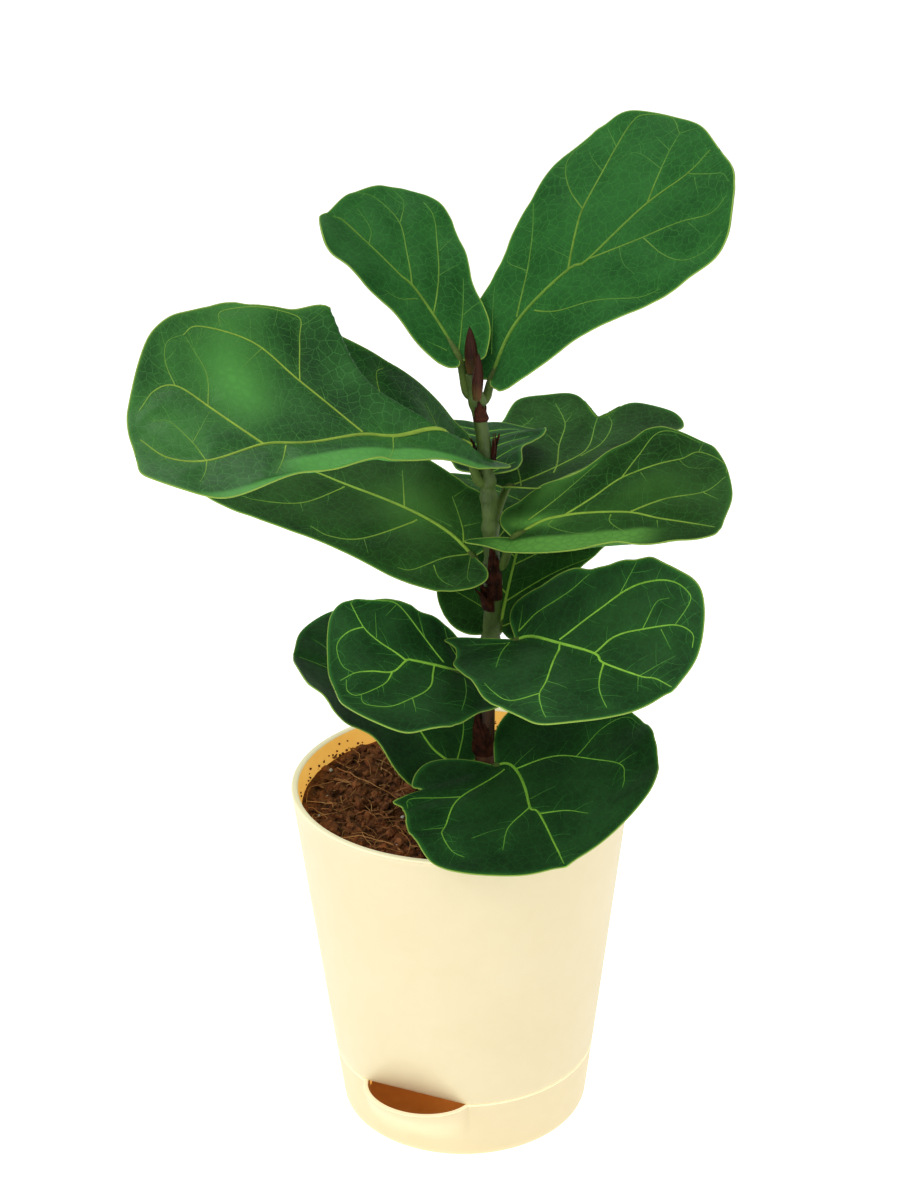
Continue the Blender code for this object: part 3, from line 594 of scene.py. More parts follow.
def makeTopDressing(reach):
    s = soilShape
    draw = random.Random(s["seed"])
    rows = []
    for index in range(s["crumbs"]):
        x, y, z = onSoil(draw, reach - 0.0018)
        size = draw.uniform(0.0005, 0.0012) if draw.random() < 0.8 else draw.uniform(0.0014, 0.0034)
        sizes = (size, size * draw.uniform(0.7, 1.1), size * draw.uniform(0.5, 0.9))
        rows.append(((x, y, z + 0.2 * size), sizes, randomTurn(draw)))
    strewOnSoil("soil_crumbs", rows, crumbStuff, 0)
    rows = []
    for index in range(s["wallCrumbs"]):
        where = draw.gauss(128, 42), abs(draw.gauss(0, 0.0024))
        size = draw.uniform(0.00025, 0.0008)
        rows.append((onWall(where, size), (size, size, size * 0.9), randomTurn(draw)))
    strewOnSoil("crumbs_on_pot_wall", rows, crumbStuff, 0)
    rows = []
    for index in range(s["chips"]):
        x, y, z = onSoil(draw, reach - 0.004)
        long = draw.uniform(0.0012, 0.0030)
        turn = randomTurn(draw, -0.5, 0.5)
        rows.append(((x, y, z + 0.0005), (long, long * draw.uniform(0.35, 0.6), 0.0004), turn))
    strewOnSoil("bark_chips", rows, chipStuff, 30, 2)
    rows = []
    for index in range(s["perlite"]):
        x, y, z = onSoil(draw, reach - 0.004)
        size = draw.uniform(0.0005, 0.0011)
        rows.append(((x, y, z + 0.6 * size), (size, size * 0.9, size * 0.8), randomTurn(draw)))
    strewOnSoil("perlite_grains", rows, perliteStuff, 60, 2)
    lines = [fibreLine(draw, reach) for index in range(s["fibres"])]
    finishPiece(tubeLines("coir_fibres", lines, 5), "soil", (), 60, fibreStuff)


def fibreLine(draw, reach):
    # one bent fibre lying on the soil, kept inside the wall
    x, y, _ = onSoil(draw, reach - 0.006)
    long = draw.uniform(0.008, 0.022) if draw.random() < 0.75 else draw.uniform(0.022, 0.055)
    heading, bend = draw.uniform(0, fullTurn), draw.gauss(0, 1.1)
    rise, count = draw.uniform(0.0003, 0.0030), 14
    line = []
    for k in range(count):
        share = k / (count - 1)
        line.append((x, y, 0))
        x += long / count * math.cos(heading + bend * share)
        y += long / count * math.sin(heading + bend * share)
        limit = (reach - 0.002) / max(math.hypot(x, y), 1e-6)
        if limit < 1:
            x, y = x * limit, y * limit
    line = np.array(line)
    line[:, 2] = soilLevel + soilHeight(line)
    share = np.linspace(0, 1, count)
    line[:, 2] = 0.5 * line[:, 2] + 0.5 * line[:, 2].mean() + rise * np.sin(math.pi * share) + 0.0004
    radius = draw.uniform(0.00013, 0.00030)
    return line, radius * (1 - 0.5 * share), draw.random()


soilStuff = plainStuff(
    "damp potting soil", (0.026, 0.0085, 0.0040), (0.370, 0.130, 0.048), 160, (0.75, 0.95), 1500, 0.0006, 1.4)
crumbStuff = plainStuff(
    "soil crumb", (0.022, 0.0075, 0.0035), (0.380, 0.140, 0.052), 240, (0.80, 0.95), 1800, 0.0004, 1.5)
chipStuff = plainStuff("bark chip", (0.16, 0.060, 0.024), (0.46, 0.22, 0.090), 130, (0.70, 0.90), 1200, 0.0003, 1.2)
perliteStuff = plainStuff("perlite", (0.62, 0.58, 0.50), (0.85, 0.83, 0.78), 500, (0.70, 0.85), 2600, 0.0002, gloss=0.5)
fibreStuff = plainStuff("coir fibre", (0.34, 0.125, 0.040), (0.80, 0.42, 0.160), 90, (0.60, 0.80), 2400, 0.0001, 1.3)
makeTopDressing(makeSoil())
print("soil made")


# the plant itself
stemPath = (
    (0.011, 0.000), (0.011, 0.038), (0.014, 0.081), (0.015, 0.100), (0.014, 0.132), (0.012, 0.163), (0.009, 0.185),
    (0.007, 0.197),
)
stemShape = dict(radius=0.0046, tip=0.0027, sides=56, rings=420, swell=0.0007, rough=0.00022, buried=0.050)


def turnPlant(points):
    return np.asarray(points, float) @ plantMatrix.T


def stemPoint(height):
    # centre of the stem at a height above the soil, before the plant is turned
    sides, heights = zip(*stemPath)
    smooth = curvedLine(list(zip(sides, heights)), 200)
    side = np.interp(height, smooth[:, 1], smooth[:, 0])
    return np.stack([side, 0 * side, soilLevel + np.asarray(height, float)], -1)


def stemRadius(height):
    share = np.clip(np.asarray(height, float) / stemPath[-1][1], 0, 1)
    return stemShape["radius"] + (stemShape["tip"] - stemShape["radius"]) * share


# each leaf: height of its node on the stem, where its blade starts (side, back, height above the soil),
# midrib length, then base, middle and tip values of heading, pitch and roll in degrees; the pairs are left
# and right halves: half width, lift in degrees at base and tip, curl, and the outline
leaves = {
    "leaf_top_right": dict(
        node=0.184, start=(0.015, 0.005, 0.193), length=0.133, tone="young",
        heading=(29, 15, 2), pitch=(53, 39, 39), roll=(1, 16, 12),
        wide=(0.056, 0.056), lift=((10, 9), (6, 3)), curl=(2, -3),
        outline=((0.3, 0.02, 0.6, 0.29, 0.65, 0.9, 0.3),
                 (0.3, 0.02, 0.62, 0.28, 0.65, 0.89, 0.3)),
    ),
    "leaf_top_left": dict(
        node=0.187, start=(0.002, 0.005, 0.202), length=0.086, tone="young",
        heading=(128, 143, 163), pitch=(44, 38, 30), roll=(-5, -3, -3),
        wide=(0.033, 0.042), lift=((7, 7), (11, 9)), curl=(6, 5),
        outline=((0.34, 0.05, 0.62, 0.32, 0.67, 0.91, 0.3),
                 (0.28, 0.05, 0.61, 0.32, 0.67, 0.92, 0.3)),
    ),
    "leaf_glossy_left": dict(
        node=0.15, start=(0.003, -0.006, 0.163), length=0.158, tone="bright",
        heading=(214, 221, 201), pitch=(33, 8, 7), roll=(-24, -27, -24),
        wide=(0.024, 0.063), lift=((10, 0), (8, 5)), curl=(4, 10),
        outline=((0.43, 0.11, 0.85, 0.36, 0.66, 0.85, 0.3),
                 (0.3, 0.04, 0.9, 0.34, 0.62, 0.76, 0.3)),
    ),
    "leaf_shaded_left": dict(
        node=0.104, start=(0.007, 0.003, 0.115), length=0.153, tone="mid",
        heading=(144, 148, 151), pitch=(16, 12, 12), roll=(-23, -8, 7),
        wide=(0.056, 0.052), lift=((2, 6), (12, 6)), curl=(0, 2),
        outline=((0.42, 0.1, 0.65, 0.32, 0.68, 0.9, 0.3),
                 (0.38, 0.03, 0.64, 0.32, 0.68, 0.9, 0.3)),
    ),
    "leaf_back_right": dict(
        node=0.129, start=(0.0215, 0.021, 0.139), length=0.104, tone="mid",
        heading=(48, 62, 80), pitch=(3, 2, 16), roll=(-2, -1, 7),
        wide=(0.04, 0.041), lift=((8, 9), (10, 7)), curl=(-12, 0),
        outline=((0.42, 0.08, 0.55, 0.34, 0.65, 0.87, 0.3),
                 (0.42, 0.08, 0.55, 0.34, 0.66, 0.88, 0.3)),
    ),
    "leaf_middle_right": dict(
        node=0.112, start=(0.0235, -0.0065, 0.127), length=0.089, tone="mid",
        heading=(-24, -13, -19), pitch=(15, 8, 1), roll=(27, 22, 8),
        wide=(0.056, 0.03), lift=((6, 6), (6, 10)), curl=(4, 22),
        outline=((0.3, 0.07, 0.56, 0.31, 0.64, 0.9, 0.3),
                 (0.3, 0.19, 0.58, 0.31, 0.66, 0.9, 0.5)),
    ),
    "leaf_behind_stem": dict(
        node=0.077, start=(0.018, 0.009, 0.079), length=0.096, tone="mid",
        heading=(75, 76, 75), pitch=(37, 20, 3), roll=(2, 3, 3),
        wide=(0.056, 0.047), lift=((11, 5), (9, 3)), curl=(1, -5),
        outline=((0.4, 0.08, 0.62, 0.33, 0.68, 0.9, 0.3),
                 (0.41, 0.08, 0.6, 0.33, 0.68, 0.9, 0.3)),
    ),
    "leaf_lower_right": dict(
        node=0.071, start=(0.0245, -0.0115, 0.082), length=0.099, tone="dark",
        heading=(-65, -53, -41), pitch=(19, 6, -5), roll=(22, 17, 8),
        wide=(0.048, 0.055), lift=((18, 9), (15, 7)), curl=(44, 4),
        outline=((0.47, 0.12, 0.75, 0.32, 0.65, 0.82, 0.3),
                 (0.46, 0.16, 0.75, 0.32, 0.67, 0.85, 0.6)),
    ),
    "leaf_round_left": dict(
        node=0.06, start=(0.006, -0.0132, 0.0654), length=0.07, tone="dark",
        heading=(-126, -150, -168), pitch=(27, 9, -10), roll=(-23, -12, 5),
        wide=(0.046, 0.044), lift=((7, 1), (21, 3)), curl=(-1, 1),
        outline=((0.4, 0.07, 0.65, 0.32, 0.66, 0.88, 0.3),
                 (0.38, 0.07, 0.72, 0.31, 0.66, 0.87, 0.3)),
    ),
    "leaf_lowest_left": dict(
        node=0.006, start=(-0.0005, 0.0005, 0.0148), length=0.092, tone="dark",
        heading=(137, 157, 178), pitch=(34, 28, 19), roll=(-7, 1, 5),
        wide=(0.056, 0.049), lift=((5, 10), (9, 8)), curl=(7, 6),
        outline=((0.47, 0.05, 0.62, 0.36, 0.69, 0.91, 0.4),
                 (0.45, 0.01, 0.59, 0.35, 0.68, 0.91, 0.6)),
    ),
    "leaf_over_rim": dict(
        node=0.013, start=(0.015, -0.012, 0.0225), length=0.0840, tone="dark",
        heading=(-51, -75, -74), pitch=(5, -7, -3), roll=(10, 9, 10),
        wide=(0.054, 0.054), lift=((14, 17), (10, 4)), curl=(9, 2),
        outline=((0.76, 0.15, 1.04, 0.34, 0.65, 0.7, 0.3),
                 (0.8, 0.15, 1.02, 0.34, 0.65, 0.7, 0.3)),
    ),
    "leaf_small_back": dict(
        node=0.143, start=(0.014, 0.009, 0.15), length=0.062, tone="dark",
        heading=(90, 93, 98), pitch=(11, 0, -3), roll=(0, 1, 5),
        wide=(0.031, 0.027), lift=((9, 4), (8, 0)), curl=(0, -1),
        outline=((0.45, 0.06, 0.55, 0.34, 0.68, 0.9, 0.3),
                 (0.44, 0.07, 0.55, 0.34, 0.68, 0.89, 0.3)),
    ),
}

# main veins of each leaf as (half width in mm, then points along and across the flat blade in mm), midrib first
veins = {
    "leaf_top_right": (
        (1.00, (0, 0), (25.6, 6.4), (55.1, 4.7), (64.1, 1.4), (96.9, 3.8), (116.7, 2.9), (129.9, 5.8)),
        (0.30, (9, 7), (19, 16), (25, 22), (32, 29)),
        (0.45, (27.1, 8.1), (44.5, 21), (56.3, 32.7), (64.5, 44.4)),
        (0.25, (44, 21), (42, 32), (45, 35)),
        (0.60, (55.1, 4.7), (67.7, 16.6), (76.3, 24.3), (91.5, 34.6), (101.7, 41.5), (111.8, 47.7),
         (117.8, 48.2), (125.4, 39), (124.1, 26.6)),
        (0.40, (76.3, 24.3), (77.8, 37.4), (82.1, 49.2), (88, 54.8), (96.7, 55.5)),
        (0.25, (102, 42), (104, 55)),
        (0.20, (92, 34), (92, 43), (93, 50)),
        (0.20, (82, 50), (79, 53)),
        (0.45, (96.9, 3.8), (109.5, 15), (116.8, 21.1), (124.1, 26.6)),
        (0.20, (117, 21), (116, 32)),
        (0.20, (110, 15), (106, 31), (96, 34)),
        (0.20, (124, 27), (132, 21)),
        (0.45, (33.5, 2.9), (39, -8.9), (51.6, -21.9), (65.6, -39.9), (75.2, -46.6)),
        (0.55, (64.1, 1.4), (74.5, -5.6), (85.8, -13.1), (101.9, -22.3), (114.2, -32.1), (123.7, -31.9)),
        (0.35, (85.8, -13.1), (86.9, -31.2), (91.7, -43.6), (101.4, -48.1), (112.9, -47.9)),
        (0.30, (117, 3), (124, -9), (128, -16), (128, -25)),
        (0.20, (118, -3), (115, -16)),
        (0.17, (76, -7), (72, -19), (72, -29)),
        (0.17, (104, -26), (105, -38)),
        (0.17, (59, 8), (56, 20)),
    ),
    "leaf_top_left": (
        (0.80, (0, 0), (23.3, -0.4), (38.6, -1), (46.8, 0.6), (63.6, 0.6), (79.2, -1.5), (81.3, -0.8),
         (83.4, 0)),
        (0.40, (3.3, -1.3), (17.5, -11.9), (31.4, -23.8)),
        (0.45, (23.1, -1), (45.9, -23.9), (56.8, -35.1), (64.9, -39.6)),
        (0.45, (38.6, -1), (51.4, -10.8), (64.1, -21.6), (77.1, -27), (83.8, -23)),
        (0.30, (64, -22), (70, -35), (76, -39)),
        (0.30, (64, 0), (69, -8), (79, -14)),
        (0.35, (31.7, 1.6), (34, 11.3), (39.8, 15.9)),
        (0.30, (5, 4), (11, 11)),
        (0.20, (17, -12), (19, -22), (16, -21)),
        (0.20, (46, -25), (48, -36)),
        (0.20, (37, -14), (37, -27)),
    ),
    "leaf_glossy_left": (
        (1.10, (0, 0), (12.8, -2.6), (39.6, -0.5), (55.2, -1.2), (82, 1.1), (104.1, -1.6), (130.6, 2.8),
         (145, -0.5), (154, -10.3)),
        (0.50, (6.4, -3.6), (20.7, -8.8), (31.9, -18.6), (31, -35.8), (26.7, -40.1)),
        (0.30, (6, -4), (10, -19), (12, -26)),
        (0.60, (54.8, -2.4), (71.1, -29.6), (82.4, -44.5), (97.7, -53.7), (110.2, -56.8), (118, -53.8)),
        (0.40, (71.1, -29.6), (63.8, -47.3), (63.4, -57.4), (93.3, -61.8), (98.3, -55.7)),
        (0.60, (104.1, -1.6), (118.6, -23.1), (129.5, -34), (141, -32.9), (150.9, -24.6)),
        (0.25, (130, -34), (131, -45), (127, -52), (117, -54)),
        (0.30, (119, -23), (113, -38), (117, -53)),
        (0.30, (131, 3), (133, -7), (139, -18), (147, -19)),
        (0.35, (39.6, -0.5), (47.2, 9.9), (58.4, 20)),
        (0.40, (95.2, 1), (101.8, 9.2), (109.1, 16.7)),
        (0.30, (131, 3), (134, 9), (138, 14)),
        (0.20, (82, -45), (95, -38)),
        (0.20, (133, -7), (119, -21)),
        (0.17, (145, -1), (149, 1)),
    ),
    "leaf_shaded_left": (
        (1.00, (0, 0), (17.5, -4.3), (41.2, -5.3), (71.6, -3.5), (86.2, -3.1), (117.3, -1.6), (148.4, 0)),
        (0.50, (7.7, -3), (13.2, -9.4), (26.7, -20.6)),
        (0.25, (26, -21), (24, -28)),
        (0.25, (13, -10), (8, -15)),
        (0.45, (41.2, -5.3), (54.8, -22.7)),
        (0.50, (32.4, -2.4), (42.9, 22.4), (54.2, 31.9), (64, 33)),
        (0.45, (71.1, -1.9), (76.8, 22.2), (90.6, 36.2), (97, 40)),
        (0.45, (2.3, 0.3), (9.2, 8.6), (15.3, 22.9), (21, 26.3)),
        (0.30, (10, 15), (4, 19), (-5, 20)),
        (0.25, (1, 1), (-6, 12), (-10, 15)),
        (0.20, (43, 22), (35, 29)),
        (0.20, (77, 23), (72, 28)),
        (0.17, (17, -7), (30, -7)),
    ),
    "leaf_back_right": (
        (0.70, (0, 0), (18, -3), (35, -5), (52, -6.6), (81.8, -0.3), (100, 0)),
        (0.40, (3, -5.6), (32.5, 18.8), (58.8, 28.9), (79, 28.5)),
        (0.45, (21.3, -9), (53, 6.7), (78.2, 12.9), (94.2, 21)),
        (0.25, (78, 13), (88, 12)),
        (0.20, (55, 8), (63, 18)),
        (0.40, (44.8, -8.2), (63.2, -10.2), (83.2, -8), (91.5, -4.7)),
    ),
    "leaf_middle_right": (
        (0.90, (0, 0), (11.9, 7.1), (22, 8.8), (32, 9.2), (50, 8), (62.4, 4.3), (74.3, 2), (80.3, 1),
         (86.3, 0)),
        (0.40, (5.6, 8.6), (18.5, 18.8), (34.6, 34.7)),
        (0.55, (22, 8.8), (34.3, 17.4), (45.3, 27.5), (58.6, 34.8), (67.2, 41.1), (73.1, 47.9),
         (82.1, 43.1), (84.3, 36.9)),
        (0.40, (45.3, 27.5), (51.5, 41), (57.2, 52.2), (65.2, 55.6), (74.2, 53.6)),
        (0.25, (73, 48), (74, 54)),
        (0.50, (50.4, 8.1), (63.8, 15.3), (78.1, 22.5), (84.2, 34.7)),
        (0.30, (78, 22), (84, 19)),
        (0.30, (17, 7), (16, 4), (26, -1), (41, -5)),
        (0.35, (42.4, 7.2), (42.8, 2.6), (52.9, -6.9)),
        (0.25, (62, 3), (63, -2)),
        (0.20, (67, 40), (71, 36), (79, 38)),
        (0.20, (53, 30), (56, 24)),
    ),
    "leaf_lower_right": (
        (1.00, (0, 0), (10.8, 3), (32.7, 3.2), (55.1, 3.8), (62.7, 1.2), (81.9, 1.7), (88.8, 3.5), (97.4, 2.9)),
        (0.45, (-2, 4), (2.7, 13.2), (21.2, 24.9), (31.3, 34.5)),
        (0.25, (-2, 4), (-8, 15)),
        (0.55, (31.3, 4.7), (39.4, 17.9), (50.9, 30.1), (64.7, 40.7), (72.8, 43.4), (80.6, 41.6),
         (83.5, 38.3), (81.7, 27.6)),
        (0.30, (51, 30), (55, 44)),
        (0.60, (55.1, 3.8), (58.5, 13.5), (69, 21), (81.4, 27.7), (90.5, 27.7), (93.9, 22.5)),
        (0.30, (69, 21), (69, 33), (74, 37)),
        (0.25, (77, 24), (86, 18)),
        (0.50, (33.8, 2.3), (54.2, -21.8), (62.9, -34.1), (71.1, -42.2), (77.1, -47)),
        (0.40, (62.9, -34.1), (59.1, -45), (47.1, -43.3), (39.5, -40.7)),
        (0.50, (63, 0.8), (70.8, -9.3), (78.3, -17.6), (88.9, -26.7)),
        (0.40, (1.3, -3.6), (15.3, -15.7), (27.7, -26.3)),
        (0.25, (1, -4), (-4, -11), (-8, -18)),
        (0.20, (55, -23), (69, -25)),
        (0.20, (82, 2), (90, 16)),
        (0.20, (82, 1), (90, -9)),
    ),
    "leaf_round_left": (
        (0.90, (0, 0), (22, -5.8), (30.9, -9), (34.6, -9.6), (43.5, -4.5), (51.5, -7.4), (59, -9.5),
         (66.2, -7.8)),
        (0.45, (15.8, -7.1), (20.4, -19.8), (28.6, -33.4), (35.7, -38.2), (41.2, -41.3), (44.3, -42.6)),
        (0.25, (20, -20), (20, -30)),
        (0.20, (30, -34), (36, -31)),
        (0.35, (4.9, -10.6), (6.5, -16.6), (6.9, -23.6)),
        (0.55, (34.6, -9.6), (37.9, -15.7), (42.4, -21.8), (47.2, -30), (49, -41.2), (47.5, -43)),
        (0.40, (47.2, -30), (55.7, -30.8), (61.1, -29.3), (62.7, -24), (62.2, -16.4), (59, -9.5)),
        (0.20, (43, -24), (40, -34)),
        (0.50, (22, -5.8), (32.4, 8.8), (43.9, 17.6), (53, 22.6), (59.9, 21.8), (62.3, 17.9), (61.3, 9.5)),
        (0.30, (44, 18), (47, 30)),
        (0.50, (43.5, -4.5), (45.9, -1.4), (50.7, 3.5), (61.3, 9.5), (64.4, 7.9), (65.3, 1.6), (63.6, -7)),
        (0.30, (9, 2), (23, 20), (29, 28)),
        (0.17, (51, 4), (53, 12)),
    ),
    "leaf_over_rim": (
        (0.90, (0.0, 0), (8.2, 3.8), (38.2, -2.7), (44.4, -0.5), (70.1, 0.3), (75.8, 0.2), (81.6, 0)),
        (0.50, (11.1, 3.5), (17.3, 16.6), (25.6, 25.7), (44.0, 38.7), (51.7, 38.3), (57.0, 35.6)),
        (0.30, (25.8, 26), (22.9, 40), (25.8, 53), (32.5, 55)),
        (0.20, (43.9, 39), (45.8, 47)),
        (0.45, (44.7, -0.5), (51.2, 10.4), (60.1, 18.2)),
        (0.50, (6.4, 0.3), (20.4, -27.7), (42.7, -41.1), (50.3, -43.4), (59.0, -41.8), (64.2, -37.4)),
        (0.35, (20.7, -27.7), (10.3, -48.4), (19.6, -52.5)),
        (0.45, (39.0, -2.7), (50.8, -15.1), (64.8, -21.3)),
        (0.25, (43.0, -41), (42.0, -51)),
        (0.20, (8.6, 4), (8.6, 17)),
        (0.17, (55.4, -32), (51.6, -17)),
        (0.17, (33.4, -1), (35.3, 11)),
    ),
    "leaf_lowest_left": (
        (0.80, (0, 0), (14.3, 4.3), (26.8, 1.5), (33.4, 1.3), (61.3, 0.6), (89.2, 0)),
        (0.40, (27.8, 1.3), (33.9, 9.9), (44.5, 24.3)),
        (0.45, (2.5, 0.2), (12, -13.5), (18, -20.4)),
        (0.25, (78, -13), (81, -16), (86, -19)),
        (0.25, (75, -4), (79, -1)),
    ),
}

# small local shapes: crease lines as (height, width, points) in mm, and dents of the margin as
# (half, place along the margin, width, share taken in)
creases = {
    "leaf_glossy_left": [(6.5, 7.5, ((52, -64), (50, -52), (48, -38), (45, -23), (38, -14), (18, -3), (2, 0)))],
}
marginDents = {
    "leaf_over_rim": [(1, 0.41, 0.020, -0.10), (1, 0.345, 0.022, 0.13)],
    "leaf_lower_right": [(1, 0.90, 0.02, -0.05)],
    "leaf_middle_right": [(1, 0.93, 0.02, -0.08)],
}
# the tip taken back into a notch: share of the length
tipNotches = {"leaf_back_right": 0.13}
# near margins turned up: half, from and to along, height in metres, share where it starts
turnedUp = {
    "leaf_glossy_left": ((0, -0.2, 0.85, 0.0050, 0.66), (1, 0.10, 1.30, 0.0060, 0.30)),
    "leaf_middle_right": ((1, -0.2, 0.80, 0.0070, 0.35),),
    "leaf_round_left": ((1, -0.3, 1.30, 0.0085, 0.10),),
    "leaf_over_rim": ((0, -0.3, 1.30, 0.0020, 0.20),),
}
# painted highlights and painted shade on the blades: strength, centre along and across, half sizes in mm, turn in
# degrees
paintedLightPatches = {
    "leaf_glossy_left": (
        (0.85, 101, -32, 15, 21, 0), (0.30, 138, -12, 18, 18, 0), (-0.85, 66, -40, 9, 18, 0),
        (-0.75, 58, -14, 13, 9, 20), (-0.65, 24, -40, 20, 22, 0), (-0.4, 112, 0, 16, 9, 0),
        (-0.45, 84, -4, 14, 8, 0), (0.22, 78, -58, 20, 10, 0),
    ),
    "leaf_middle_right": (
        (0.9, 8, 7, 12, 3.5, 0), (0.14, 52, 22, 26, 16, 0), (0.35, 22, 31, 24, 5, 40),
         (-0.5, 42, 30, 14, 7, 40),
    ),
    "leaf_top_right": ((0.35, 82, 6, 16, 12, 0), (0.30, 112, 28, 12, 10, 0), (-0.35, 30, -12, 22, 12, 0)),
    "leaf_top_left": ((0.35, 70, -4, 12, 10, 0), (-0.35, 30, -10, 18, 9, 0)),
    "leaf_lower_right": ((0.22, 55, 20, 16, 14, 0), (-0.4, 20, 0, 14, 10, 0)),
    "leaf_round_left": ((-0.4, 26, -14, 12, 10, 0),),
    "leaf_over_rim": ((0.18, 30, -18, 22, 12, 0),),
    "leaf_shaded_left": ((0.10, 110, 8, 24, 16, 0), (0.28, 36, -8, 22, 16, 0)),
}
# pale strips of a half, partly the paler underside of a turned-up margin and partly painted highlight in the lit
# colour: half, from and to along in mm, share where it starts, strength
paleLitStrips = {
    "leaf_glossy_left": ((0, -25, 112, 0.34, 0.95), (0, 80, 152, 0.80, 0.85)),
    "leaf_middle_right": ((1, -15, 70, 0.03, 0.95),),
}
bladeShape = dict(
    rows=168, columns=60, thick=0.00055, puff=0.00085, puffWidth=0.0042, wave=0.0013, buckle=0.0011, lift=0.0002,
    ribSpread=0.0026, rimSpread=0.0012, uvSpan=0.2, marginTube=0.00030, outlinePoints=1201,
)


def threeWay(values, share):
    base, middle, tip = values
    share = np.clip(share, 0, 1)
    return base * (1 - share) * (1 - 2 * share) + middle * 4 * share * (1 - share) + tip * share * (2 * share - 1)


def leafAxes(leaf, share):
    heading = np.radians(threeWay(leaf["heading"], share))
    pitch = np.radians(threeWay(leaf["pitch"], share))
    ahead = np.stack([np.cos(heading) * np.cos(pitch), np.sin(heading) * np.cos(pitch), np.sin(pitch)], -1)
    level = np.stack([-np.sin(heading), np.cos(heading), 0 * heading], -1)
    return ahead, level, np.cross(ahead, level)


def halfValue(pair, across):
    # the left half's value where across is positive, else the right half's
    return np.where(across >= 0, *pair)


def leafPlace(leaf, along, across):
    # places and normals on the blade: along as a share of the midrib, across in metres, left positive
    steps = 48
    ahead = leafAxes(leaf, (np.arange(steps) + 0.5) / steps)[0]
    side, back, height = leaf["start"]
    line = np.vstack([[0, 0, 0], np.cumsum(ahead, 0) * leaf["length"] / steps]) + (side, back, soilLevel + height)
    on = np.clip(along, 0, 1)
    marks = np.linspace(0, 1, steps + 1)
    place = np.stack([np.interp(on, marks, line[:, axis]) for axis in range(3)], -1)
    ahead, level, up = leafAxes(leaf, on)
    roll = np.radians(threeWay(leaf["roll"], on))[..., None]
    left = level * np.cos(roll) + up * np.sin(roll)
    normal = up * np.cos(roll) - level * np.sin(roll)
    first, last = (halfValue(pair, across) for pair in zip(*leaf["lift"]))
    wide, curl = halfValue(leaf["wide"], across), halfValue(leaf["curl"], across)
    bend = np.radians(first + (last - first) * on + 0.5 * curl * np.abs(across) / wide)
    behind = (along - on) * leaf["length"]
    rise = np.abs(across) * np.sin(bend) - behind * math.sin(math.radians(20))
    place = place + ahead * behind[..., None] + left * (across * np.cos(bend))[..., None] + normal * rise[..., None]
    return place, normal


def halfOutline(outline):
    # margin of one half as (along, share of the half width), base to tip
    lobe, reach, neck, neckAt, belly, tip, sinus = outline
    return (
        (0.0, 0.0), (-0.85 * reach, sinus * lobe), (-reach, (sinus + 0.32) * lobe),
         (-0.45 * reach, 0.95 * lobe),
        (0.10, 0.60 * lobe + 0.46 * neck), (neckAt, neck),
         (0.5 * (neckAt + belly) + 0.02, 0.5 * (neck + 1) + 0.03),
        (belly, 1.0), (belly + 0.62 * (1 - belly), 0.5 + 0.5 * tip), (0.988, 0.52 * tip), (1.0, 0.0),
    )


def leafMargin(name, leaf, half, count):
    # the margin with its small irregularities: along as a share, across in metres without sign
    line = curvedLine(halfOutline(leaf["outline"][half]), count)
    place = np.linspace(0, 1, count)
    seed = 13.7 * half + len(name) * 3.1 + leaf["length"] * 900
    jag = flatNoise(place, 7, seed, 3)
    line[:, 1] *= 1 + 0.030 * jag * ease(place, 0.05, 0.2)
    for side, at, width, depth in marginDents.get(name, ()):
        if side == half:
            line[:, 1] *= 1 - depth * np.exp(-((place - at) / width) ** 2)
    line[:, 1] *= leaf["wide"][half]
    line[:, 0] -= tipNotches.get(name, 0) * np.exp(-((1 - place) / 0.045) ** 2)
    return line


def flatDistance(points, lines):
    # distance of each flat point to the nearest of the lines' points
    target = np.concatenate(lines)
    best = np.full(len(points), 1.0)
    for start in range(0, len(points), 4000):
        part = points[start:start + 4000]
        best[start:start + 4000] = np.sqrt(((part[:, None] - target[None]) ** 2).sum(2)).min(1)
    return best


def leafSurface(name, leaf, flat, ribs):
    # flat places in metres (along, across) to places on the finished blade
    index = list(leaves).index(name)
    along, across = flat[:, 0] / leaf["length"], flat[:, 1]
    place, normal = leafPlace(leaf, along, across)
    far = flatDistance(flat, ribs)
    b = bladeShape
    relief = b["puff"] * (1 - np.exp(-(far / b["puffWidth"]) ** 2))
    share = np.abs(across) / halfValue(leaf["wide"], across)
    for half, sign in ((0, 1), (1, -1)):
        wave = np.sin(fullTurn * (along * (2.6 + 0.5 * ((index + half) % 3)) + 0.37 * index + 0.3 * half))
        relief = relief + np.where(across * sign >= 0, b["wave"] * wave * np.clip(share, 0, 1.2) ** 2.2, 0)
    buckles = bumpNoise(np.column_stack([flat * 38, 0 * along]), 1.0, index * 5.3)
    relief = relief + b["buckle"] * buckles * np.clip(share * 2, 0, 1)
    for half, low, high, height, begin in turnedUp.get(name, ()):
        near = np.where((across >= 0) == (half == 0), ease(share, begin, 1.0), 0)
        relief = relief + height * near ** 2 * ease(along, low, low + 0.25) * ease(along, high, high - 0.25)
    for height, width, line in creases.get(name, ()):
        # a fold: gentle on the tip side, steep and then hollow on the foot side
        ridge = curvedLine(np.array(line) / 1000, 120)
        near = flatDistance(flat, [ridge]) * 1000
        order = np.argsort(ridge[:, 1])
        behind = flat[:, 0] < np.interp(across, ridge[order, 1], ridge[order, 0])
        gentle = height * np.exp(-(near / width) ** 2)
        steep = (height + 3.0) * np.exp(-(near / 3.2) ** 2) - 3.0 * np.exp(-(near / 14) ** 2)
        relief = relief + np.where(across < 0.002, np.where(behind, steep, gentle), gentle) / 1000
    return place + normal * (relief + b["lift"])[:, None], far


